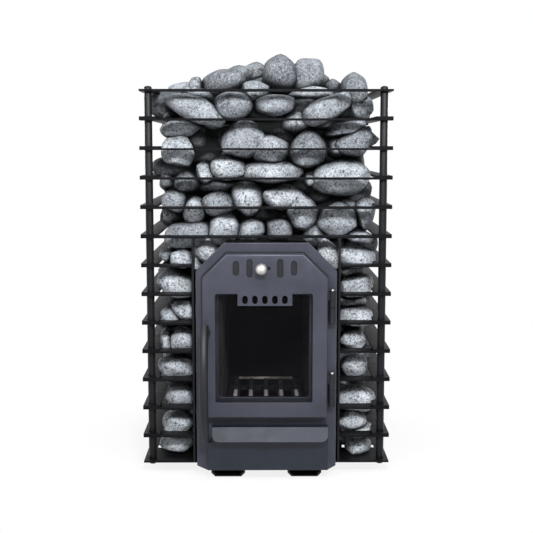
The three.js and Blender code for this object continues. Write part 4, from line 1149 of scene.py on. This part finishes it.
    def core(self, node: str) -> Form:
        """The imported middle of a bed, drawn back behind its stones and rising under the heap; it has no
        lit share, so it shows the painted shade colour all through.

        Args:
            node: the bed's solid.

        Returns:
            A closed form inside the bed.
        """
        low, high = box_of(node)
        inner = self.reach - self.core_recess
        low.x, high.x = max(low.x, -inner), min(high.x, inner)
        low.y, high.y = max(low.y, self.centre_y - inner), min(high.y, self.centre_y + inner)
        if node == "stones_right":
            low.x = self.box_half + MM
        if node == "stones_left":
            high.x = -self.box_half - MM
        is_low = high.z < self.shelf + MM
        cells = self.core_cells
        form = bmesh.new()
        bottom, top = [], []
        for i in range(cells + 1):
            x = low.x + (high.x - low.x) * i / cells
            ys = [low.y + (high.y - low.y) * j / cells for j in range(cells + 1)]
            rise = [high.z if is_low else self.mound(x, y - self.centre_y) - self.heap_sink for y in ys]
            bottom.append([form.verts.new((x, y, low.z)) for y in ys])
            top.append([form.verts.new((x, y, z)) for y, z in zip(ys, rise)])
        for i in range(cells):
            for j in range(cells):
                form.faces.new((top[i][j], top[i + 1][j], top[i + 1][j + 1], top[i][j + 1]))
                form.faces.new((bottom[i][j], bottom[i][j + 1], bottom[i + 1][j + 1], bottom[i + 1][j]))
            form.faces.new((bottom[i][0], bottom[i + 1][0], top[i + 1][0], top[i][0]))
            form.faces.new((bottom[i + 1][cells], bottom[i][cells], top[i][cells], top[i + 1][cells]))
            form.faces.new((bottom[0][i + 1], bottom[0][i], top[0][i], top[0][i + 1]))
            form.faces.new((bottom[cells][i], bottom[cells][i + 1], top[cells][i + 1], top[cells][i]))
        return form

    def fits(self, stone: Stone) -> bool:
        """Tells which stones are laid.

        Args:
            stone: the stone.

        Returns:
            Whether it lies in the front layer, or clear of the firebox and the flue pipe.
        """
        x, y, z = stone.at
        in_box = z < self.shelf and y < self.box_back and abs(x) < self.box_half
        in_front = y < self.centre_y - self.reach + self.depth
        in_flue = math.hypot(x - self.flue.x, y - self.flue.y) < self.flue_radius + self.depth / 2
        return in_front or not (in_box or in_flue)

    def build(self, shop: Workshop) -> None:
        """Makes every bed and hands it over.

        Args:
            shop: the finishes.
        """
        finish = shop.finishes[Slot.GRANITE]
        side = self.reach - self.depth
        outer = self.front() + self.front_heap() + self.heap(self.heap_seed)
        inner = self.courses(self.inner_front_seed, 0, -self.reach, self.reach, self.second_layer)
        faces = ((-90, -self.reach, side), (90, -side, self.reach), (180, -side, side))
        for k, (turn, start, end) in enumerate(faces):
            seed = k * self.face_step
            outer += self.courses(self.outer_seed + seed, turn, start, end, 0.0)
            inner += self.courses(self.inner_seed + seed, turn, start, end, self.second_layer)
        layers = (("outer", outer, self.detail, 1.0), ("inner", inner, self.detail - 1, self.inner_lit))
        for node in sorted({self.bed_of(stone) for stone in outer}):
            form = self.core(node)
            for layer, stones, detail, lit in layers:
                mine = [stone for stone in stones if self.bed_of(stone) == node and self.fits(stone)]
                if mine:
                    form.from_mesh(self.stones_mesh(f"{node} {layer}", mine, detail, lit, finish))
            piece = object_of(node.replace("stones", "granite"), form)
            shop.hand_over(piece, Body.FRAME, Slot.GRANITE, node)


@dataclass
class Cage:
    """Flat-bar rings on four posts, with the base plate and the strips beside the opening."""

    edge: float = 0.7 * MM
    post_sides: int = 28
    post_dome: float = 4 * MM
    rings: int = 12
    open_rings: int = 7

    def ring_tree(self) -> GeometrySheet:
        """The geometry tree that stacks one ring into many.

        Returns:
            The tree, with named inputs for the count and the rise.
        """
        sheet = GeometrySheet("stacked rings", Count="Int", Rise="Vector")
        given = sheet.given
        line = {"Count": given["Count"], "Offset": given["Rise"]}
        ladder = sheet.out("GeometryNodeMeshLine", {"mode": "OFFSET"}, **line)
        stack = sheet.out("GeometryNodeInstanceOnPoints", Points=ladder, Instance=given["Geometry"])
        sheet.end(sheet.out("GeometryNodeRealizeInstances", Geometry=stack))
        return sheet

    def stack(self, name: str, first: int, last: int, tree: GeometrySheet, shop: Workshop) -> None:
        """Makes the rings from one number to another out of the first of them.

        Args:
            name: the piece's name.
            first: number of the lowest ring.
            last: number of the highest ring.
            tree: the stacking tree.
            shop: the finishes.
        """
        nodes = [f"cage_ring_{k:02d}" for k in range(first, last + 1)]
        piece = sheet_piece(name, self.edge, nodes[0])
        rise = (box_of(nodes[-1])[0].z - box_of(nodes[0])[0].z) / (len(nodes) - 1)
        tree.apply(piece, Count=len(nodes), Rise=(0.0, 0.0, rise), Finish=shop.finishes[Slot.CAGE])
        shop.hand_over(piece, Body.FRAME, Slot.CAGE, *nodes)

    def post(self, node: str) -> Piece:
        """A round post with domed ends.

        Args:
            node: the post's solid.

        Returns:
            The new object.
        """
        low, high = box_of(node)
        radius = (high.x - low.x) / 2
        profile = dome(radius, low.z + self.post_dome, self.post_dome, False)
        profile += dome(radius, high.z - self.post_dome, self.post_dome, True)
        name = node.replace("corner_post", "round_post")
        return turned_piece(name, profile, upright(node), self.post_sides)

    def build(self, shop: Workshop) -> None:
        """Makes the cage and hands it over.

        Args:
            shop: the finishes.
        """
        tree = self.ring_tree()
        self.stack("open_cage_rings", 1, self.open_rings, tree, shop)
        self.stack("closed_cage_rings", self.open_rings + 1, self.rings, tree, shop)
        for node in ("top_ring", "base_plate", "opening_strip_left", "opening_strip_right"):
            finish = shop.post if "strip" in node else None
            shop.sheet(node, self.edge, Body.FRAME, Slot.CAGE, finish=finish)
        for end in ("front", "rear"):
            for side in ("left", "right"):
                node = f"corner_post_{end}_{side}"
                shop.hand_over(self.post(node), Body.FRAME, Slot.CAGE, node, finish=shop.post)


@dataclass
class Firebox:
    """The firebox body, its lining and grate, the flue pipe, the front plate and the feet."""

    edge: float = 1.0 * MM
    brick_edge: float = 2.0 * MM
    plate_edge: float = 1.4 * MM
    plate_drop: float = 10.3 * MM
    grate_ribs: int = 5
    rib_pitch: float = 33.5 * MM
    rib_width: float = 9 * MM
    rib_height: float = 18 * MM
    rib_inset: float = 4 * MM
    cap_length: float = 50 * MM
    cap_height: float = 2 * MM
    cap_width: float = 8 * MM
    ledge_back: float = 172 * MM
    ledge_depth: float = 5 * MM
    flue_sides: int = 64
    flue_wall: float = 3 * MM
    flue_lip: float = 0.8 * MM

    def plate(self) -> Piece:
        """The front plate, its lower edge drawn down below the drawer and cut off towards its sides.

        Returns:
            The new object.
        """
        bottom = box_of("front_plate")[0].z
        left, right = (corner.x for corner in box_of("ash_drawer_front"))
        form = solid_copy("front_plate")
        for x in (left, right):
            parts = [*form.verts, *form.edges, *form.faces]
            bmesh.ops.bisect_plane(form, geom=parts, plane_co=(x, 0, 0), plane_no=(1, 0, 0))
        for corner in form.verts:
            if corner.co.z < bottom + MERGE and left - MERGE < corner.co.x < right + MERGE:
                corner.co.z -= self.plate_drop
        return soften(object_of("cut_front_plate", form), self.plate_edge)

    def bars(self, name: str, back: float, rise: float, size: Point, count: int) -> Piece:
        """Level bars on the grate, side by side at the pitch of its ribs.

        Args:
            name: the piece's name.
            back: their middle, from the grate's front edge.
            rise: their middle, above the grate's top.
            size: width, length and height of a bar.
            count: how many bars.

        Returns:
            The new object.
        """
        corner, top = box_of("grate")
        form = bmesh.new()
        for i in range(count):
            x = (i - (count - 1) / 2) * self.rib_pitch
            add_block(form, Vector((x, corner.y + back, top.z + rise)), Vector(size))
        return soften(object_of(name, form), self.edge)

    def flue(self) -> Piece:
        """The flue pipe, open at both ends.

        Returns:
            The new object.
        """
        low, high = box_of("flue_pipe")
        outer = (high.x - low.x) / 2
        inner = outer - self.flue_wall
        lip = self.flue_lip
        profile = [
            (inner, low.z), (outer, low.z), (outer, high.z - lip), (outer - lip, high.z),
            (inner + lip, high.z), (inner, high.z - lip), (inner, low.z),
        ]
        return turned_piece("round_flue_pipe", profile, upright("flue_pipe"), self.flue_sides)

    def build(self, shop: Workshop) -> None:
        """Makes the firebox and hands it over.

        Args:
            shop: the finishes.
        """
        body = Body.FRAME
        # The front plate takes its darker paint as painted shade.
        shop.hand_over(self.plate(), body, Slot.DOOR, "front_plate", finish=PLATE_SHADE_PAINT.make())
        for part in ("wall_left", "wall_right", "wall_back", "crown", "floor"):
            shop.sheet(f"firebox_{part}", self.edge, body, Slot.BOX)
        shop.sheet("baffle_plate", self.edge, body, Slot.BOX)
        for side in ("left", "right", "back"):
            shop.sheet(f"firebrick_{side}", self.brick_edge, body, Slot.BRICK)
        for side in ("left", "right"):
            shop.sheet(f"foot_runner_{side}", self.edge, body, Slot.BOX)
        shop.sheet("grate", self.edge, body, Slot.IRON, "slotted_grate")
        low, high = box_of("grate")
        front, top, count = self.rib_inset, self.rib_height, self.grate_ribs
        length = high.y - low.y - 2 * front
        tie = (count - 1) * self.rib_pitch - self.rib_width
        ribs = (self.rib_width, length, top)
        caps = (self.cap_width, self.cap_length, self.cap_height)
        ledge = (tie, self.ledge_depth, self.ledge_depth)
        rows = (
            ("upright_grate_ribs", front + length / 2, top / 2, ribs, count, None),
            # Pale caps: worn metal and painted light on the ribs' fronts.
            ("bright_grate_ribs", front + self.cap_length / 2, top, caps, count, WORN_AND_LIT_RIBS.make()),
            # A pale bar across the grate as a painted highlight.
            ("worn_grate_cross_bar", self.ledge_back, top, ledge, 1, LIT_GRATE_BAR.make()),
        )
        for name, back, rise, size, number, finish in rows:
            shop.hand_over(self.bars(name, back, rise, size, number), body, Slot.IRON, finish=finish)
        shop.hand_over(self.flue(), body, Slot.BOX, "flue_pipe")


@dataclass
class Door:
    """The pan-shaped door with its glass, its air slide and its hinges."""

    fold: float = 4 * MM
    fold_steps: int = 5
    fold_profile: float = 0.5
    edge: float = 0.5 * MM
    thin_edge: float = 0.3 * MM
    slide_edge: float = 0.4 * MM
    rope_radius: float = 2.4 * MM
    knob_sides: int = 48
    knob_steps: int = 20
    collar_radius: float = 6 * MM
    collar_rim: float = 0.6 * MM
    collar_gap: float = 1 * MM
    stem_radius: float = 3 * MM
    barrel_sides: int = 36
    barrel_rim: float = 0.8 * MM
    bore_gap: float = 0.3 * MM
    lug: float = 8 * MM
    lug_lengths: float = 2.5
    pin_tip: float = 0.6

    def pan(self) -> Piece:
        """The door's pan, folded round along the outer edges of its front.

        Returns:
            The new object.
        """
        low, high = box_of("door_panel")
        middle = (low.y + high.y) / 2
        form = solid_copy("door_panel")
        folds = []
        for edge in form.edges:
            is_front = all(corner.co.y < low.y + MERGE for corner in edge.verts)
            reach = max(corner.co.y for side in edge.link_faces for corner in side.verts)
            if is_front and reach > middle:
                folds.append(edge)
        sizes = {"offset": self.fold, "segments": self.fold_steps, "profile": self.fold_profile}
        bmesh.ops.bevel(form, geom=folds, affect="EDGES", **sizes)
        return soften(object_of("door_pan", form), self.edge)

    def rope(self) -> Piece:
        """The rope seal, near-black as soot and as painted shade, whose edge shows as a dark line round the
        door.

        Returns:
            The new object.
        """
        back = box_of("door_panel")[1].y - self.rope_radius
        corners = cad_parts["door_panel"].data.vertices
        points = [Vector((corner.co.x, corner.co.z)) for corner in corners]
        outline = [points[i] for i in geometry.convex_hull_2d(points)]
        path = bpy.data.curves.new("door rope", "CURVE")
        path.dimensions = "3D"
        path.bevel_depth = self.rope_radius
        spline = path.splines.new("POLY")
        spline.points.add(len(outline) - 1)
        for point, (x, z) in zip(spline.points, outline):
            point.co = (x, back, z, 1)
        spline.use_cyclic_u = True
        strand = new_object("door rope", path)
        mesh = plain_mesh(strand)
        bpy.data.objects.remove(strand)
        smooth(mesh)
        return new_object("door_rope_seal", mesh)

    def knob(self) -> Piece:
        """The ball knob with its collar and stem.

        Returns:
            The new object.
        """
        low, high = box_of("air_knob")
        middle = (low + high) / 2
        ball = (high.x - low.x) / 2
        collar, rim, stem = self.collar_radius, self.collar_rim, self.stem_radius
        sweep = math.pi / 2 + math.acos(collar / ball)
        profile = [(0.0, 0.0)]
        for i in range(1, self.knob_steps + 1):
            angle = -math.pi / 2 + sweep * i / self.knob_steps
            profile.append((ball * math.cos(angle), ball + ball * math.sin(angle)))
        base = box_of("door_panel")[0].y - self.collar_gap - low.y
        end = high.y - low.y
        profile += [(collar, base - rim), (collar - rim, base), (stem, base), (stem, end), (0.0, end)]
        return turned_piece("ball_knob", profile, along_y(middle.x, low.y, middle.z), self.knob_sides)

    def hinge_half(self, node: str) -> Piece:
        """One half of a barrel hinge, with its lug.

        Args:
            node: the half's solid.

        Returns:
            The new object.
        """
        low, high = box_of(node)
        pin = middle_of(node.replace("frame_half", "pin").replace("door_half", "pin"))
        radius = high.x - pin.x
        bore = (box_of("hinge_pin_lower")[1].x - pin.x) + self.bore_gap
        rim = self.barrel_rim
        profile = [
            (bore, low.z), (radius - rim, low.z), (radius, low.z + rim), (radius, high.z - rim),
            (radius - rim, high.z), (bore, high.z), (bore, low.z),
        ]
        form = bmesh.new()
        turned(form, profile, Matrix.Translation((pin.x, pin.y, 0)), self.barrel_sides)
        wall = (radius + bore) / 2
        half = self.lug / 2
        if "frame" in node:
            lug_low = Vector((pin.x - half, pin.y + wall, low.z + half))
            lug_high = Vector((pin.x + half, high.y, high.z - half))
        else:
            lug_low = Vector((low.x, pin.y - half, high.z - self.lug_lengths * self.lug))
            lug_high = Vector((pin.x - wall, pin.y + half, high.z - half))
        add_block(form, (lug_low + lug_high) / 2, lug_high - lug_low)
        return soften(object_of(f"finished_{node}", form), self.edge)

    def pin(self, node: str) -> Piece:
        """A hinge pin with a domed tip.

        Args:
            node: the pin's solid.

        Returns:
            The new object.
        """
        low, high = box_of(node)
        radius = (high.x - low.x) / 2
        tip = radius * self.pin_tip
        profile = [(0.0, low.z), (radius, low.z), *dome(radius, high.z - tip, tip, True)]
        return turned_piece(f"finished_{node}", profile, upright(node), self.barrel_sides)

    def build(self, shop: Workshop) -> None:
        """Makes the door and hands it over.

        Args:
            shop: the finishes.
        """
        shop.hand_over(self.pan(), Body.DOOR, Slot.DOOR, "door_panel")
        # The near-black rope stands partly for the shaded gap round the door.
        shop.hand_over(self.rope(), Body.DOOR, Slot.SEAL, finish=SOOTY_SHADED_ROPE.make())
        shop.sheet("door_glass", self.edge, Body.DOOR, Slot.GLASS, "window_glass")
        shop.sheet("glass_seal", self.thin_edge, Body.DOOR, Slot.SEAL, "glass_tape")
        shop.sheet("glass_retainer", self.thin_edge, Body.DOOR, Slot.BOX, "glass_frame")
        # Painted shade: the slide takes the darker satin paint so the slots in the door read as shaded.
        shop.sheet("air_slide", self.slide_edge, Body.AIR, Slot.DOOR, "slotted_air_slide", shop.satin)
        shop.hand_over(self.knob(), Body.AIR, Slot.STEEL, "air_knob", finish=DULL_POLISH.make())
        for place in ("lower", "upper"):
            for half, body in (("frame_half", Body.FRAME), ("door_half", Body.DOOR)):
                node = f"hinge_{half}_{place}"
                shop.hand_over(self.hinge_half(node), body, Slot.CAGE, node, finish=shop.satin)
            node = f"hinge_pin_{place}"
            shop.hand_over(self.pin(node), Body.FRAME, Slot.STEEL, node)


@dataclass
class Handle:
    """The bowed bar handle on its shaft, and the latch behind the door."""

    length: float = 234 * MM
    bow: float = 41 * MM
    top: float = 325 * MM
    standoff: float = 16 * MM
    bar_radius: float = 9 * MM
    bar_rim: float = 1.5 * MM
    shaft_height: float = 310 * MM
    shaft_radius: float = 4 * MM
    boss_radius: float = 7 * MM
    boss_length: float = 14 * MM
    boss_rim: float = 0.8 * MM
    boss_gap: float = 0.3 * MM
    tongue_edge: float = 0.6 * MM
    nut_edge: float = 0.4 * MM
    keeper_edge: float = 0.5 * MM
    steps: int = 40
    sides: int = 32

    def bar(self, form: Form, x: float, end_y: float) -> None:
        """Adds the bowed bar, its ends cut square with a small rim.

        Args:
            form: the mesh to add to.
            x: the bar's place across the door.
            end_y: where the middle of its ends lies.
        """
        half = self.length / 2
        bend = (half * half + self.bow * self.bow) / (2 * self.bow)
        reach = math.asin(half / bend)
        centre = Vector((x, end_y + bend * math.cos(reach), self.top - half))
        edge = self.bar_rim / bend
        radius, small = self.bar_radius, self.bar_radius - self.bar_rim
        stations = [(-reach, 0.0), (-reach, small), (-reach + edge, radius)]
        for i in range(1, self.steps):
            stations.append((-reach + 2 * reach * i / self.steps, radius))
        stations += [(reach - edge, radius), (reach, small), (reach, 0.0)]
        rings = []
        for angle, size in stations:
            outward = Vector((0, -math.cos(angle), math.sin(angle)))
            middle = centre + bend * outward
            rings.append(add_ring(form, middle, outward, Vector((1, 0, 0)), size, self.sides))
        bridge(form, rings, self.sides)

    def lever(self) -> Piece:
        """The bar, its boss and its shaft.

        Returns:
            The new object.
        """
        low, high = box_of("handle_lever")
        face = box_of("door_panel")[0].y
        form = bmesh.new()
        self.bar(form, low.x + self.bar_radius, face - self.standoff)
        boss, shaft, rim = self.boss_radius, self.shaft_radius, self.boss_rim
        shoulder = self.boss_length + rim
        end = high.y - face + self.standoff
        profile = [
            (0.0, 0.0), (boss, 0.0), (boss, self.boss_length), (boss - rim, shoulder),
            (shaft, shoulder), (shaft, end), (0.0, end),
        ]
        where = along_y(middle_of("tongue_nut").x, face - self.boss_gap - shoulder, self.shaft_height)
        turned(form, profile, where, self.sides)
        bmesh.ops.recalc_face_normals(form, faces=form.faces)
        return object_of("bowed_handle", form)

    def build(self, shop: Workshop) -> None:
        """Makes the handle and its latch and hands them over.

        Args:
            shop: the finishes.
        """
        sooty = shop.finishes[Slot.BOX]
        shop.hand_over(self.lever(), Body.HANDLE, Slot.DOOR, "handle_lever", finish=shop.satin)
        shop.sheet("latch_tongue", self.tongue_edge, Body.HANDLE, Slot.STEEL, "flat_latch_tongue", sooty)
        shop.sheet("tongue_nut", self.nut_edge, Body.HANDLE, Slot.STEEL, "hexagon_tongue_nut")
        shop.sheet("latch_keeper", self.keeper_edge, Body.FRAME, Slot.STEEL, "folded_latch_keeper", sooty)


@dataclass
class AshDrawer:
    """The drawer front with its turned-out lip, and the ash tray behind it."""

    fold: float = 1.2 * MM
    edge: float = 0.6 * MM

    def build(self, shop: Workshop) -> None:
        """Makes the drawer and hands it over.

        Args:
            shop: the finishes.
        """
        # The drawer front takes the darker paint as painted shade.
        paint = DRAWER_SHADE_PAINT.make()
        shop.sheet("ash_drawer_front", self.fold, Body.DRAWER, Slot.DOOR, "drawer_front", paint)
        shop.sheet("ash_tray", self.edge, Body.DRAWER, Slot.BOX, "open_ash_tray")


@dataclass(frozen=True)
class Lamp:
    """A square soft light: where it hangs, what it points at, its side in metres, its power in watts."""

    name: str
    at: Point
    aim: Point
    size: float
    power: float

    def hang(self) -> None:
        """Puts the light into the scene."""
        data = bpy.data.lights.new(self.name, "AREA")
        data.size = self.size
        data.energy = self.power
        lamp = new_object(self.name, data)
        lamp.location = self.at
        lamp.rotation_euler = (Vector(self.aim) - Vector(self.at)).to_track_quat("-Z", "Y").to_euler()


@dataclass
class Studio:
    """The floor, the light and the camera."""

    floor_half: float = 30.0
    floor_colour: str = "f4f4f4"
    floor_roughness: float = 0.9
    shadow_reach: Range = (0.3, 0.5)
    floor_glow: float = 0.85
    room_light: float = 0.11
    focal_pixels: float = 1000.0
    image_pixels: float = 533.0
    sensor: float = 36.0
    sight: float = 100.0
    camera_at: Point = (-10.5 * MM, -2277 * MM, 680 * MM)
    pitch: float = 0.1197
    yaw: float = -0.0054
    lamps: tuple[Lamp, ...] = (
        Lamp("front light", (0.2, -2.25, 1.68), (0, 0, 0.45), 0.35, 49),
        Lamp("right light", (0.95, -1.7, 1.5), (0, 0, 0.5), 0.5, 17),
        Lamp("left light", (-0.95, -1.7, 1.5), (0, 0, 0.5), 0.5, 16.5),
        Lamp("top light", (0.0, -1.1, 2.6), (0, -0.2, 0.4), 0.5, 17),
        Lamp("back right light", (1.6, 2.0, 1.0), (0, 0, 0.4), 0.6, 23),
        Lamp("back left light", (-1.6, 2.0, 1.0), (0, 0, 0.4), 0.6, 23),
    )

    def floor(self) -> None:
        """Lays a white floor that keeps the stove's shadow and fades to plain white."""
        form = bmesh.new()
        bmesh.ops.create_grid(form, x_segments=1, y_segments=1, size=self.floor_half)
        piece = object_of("studio_floor", form)
        sheet = SurfaceSheet("white floor")
        sheet.dress(Base_Color=colour(self.floor_colour), Roughness=self.floor_roughness)
        glow = sheet.out("ShaderNodeEmission", Color=WHITE, Strength=1.0)
        away = sheet.vector("LENGTH", sheet.place)
        fade = sheet.between(away, self.shadow_reach, (self.floor_glow, 1.0))
        sheet.set(sheet.output, Surface=sheet.behind(fade, sheet.shader.outputs[0], glow))
        piece.data.materials.append(sheet.material)

    def world(self) -> None:
        """Fills the room with even light behind which the background is white."""
        world = bpy.data.worlds.new("studio")
        world.use_nodes = True
        bpy.context.scene.world = world
        sheet = NodeSheet(world.node_tree)
        lit = sheet.out("ShaderNodeBackground", Color=WHITE, Strength=self.room_light)
        white = sheet.out("ShaderNodeBackground", Color=WHITE, Strength=1.0)
        sheet.add("ShaderNodeOutputWorld", Surface=sheet.behind(1.0, lit, white))

    def camera(self) -> None:
        """Sets the camera where the photograph was taken from."""
        data = bpy.data.cameras.new("photograph")
        data.sensor_width = self.sensor
        data.lens = self.focal_pixels / self.image_pixels * self.sensor
        data.clip_end = self.sight
        camera = new_object("photograph", data)
        camera.location = Vector(self.camera_at) + Vector((0, middle_of("top_ring").y, 0))
        camera.rotation_euler = Euler((math.pi / 2 - self.pitch, 0, self.yaw))
        bpy.context.scene.camera = camera

    def build(self) -> None:
        """Sets up the whole studio."""
        bpy.context.scene.view_settings.view_transform = "Standard"
        self.floor()
        self.world()
        for lamp in self.lamps:
            lamp.hang()
        self.camera()


def main() -> None:
    """Builds the stove and its studio, piece by piece."""
    logging.basicConfig(level=logging.INFO, format="%(name)s %(message)s")
    shop = Workshop()
    for part in (Cage(), StoneBeds(), Firebox(), Door(), Handle(), AshDrawer()):
        part.build(shop)
    Studio().build()


if __name__ == "__main__":
    main()
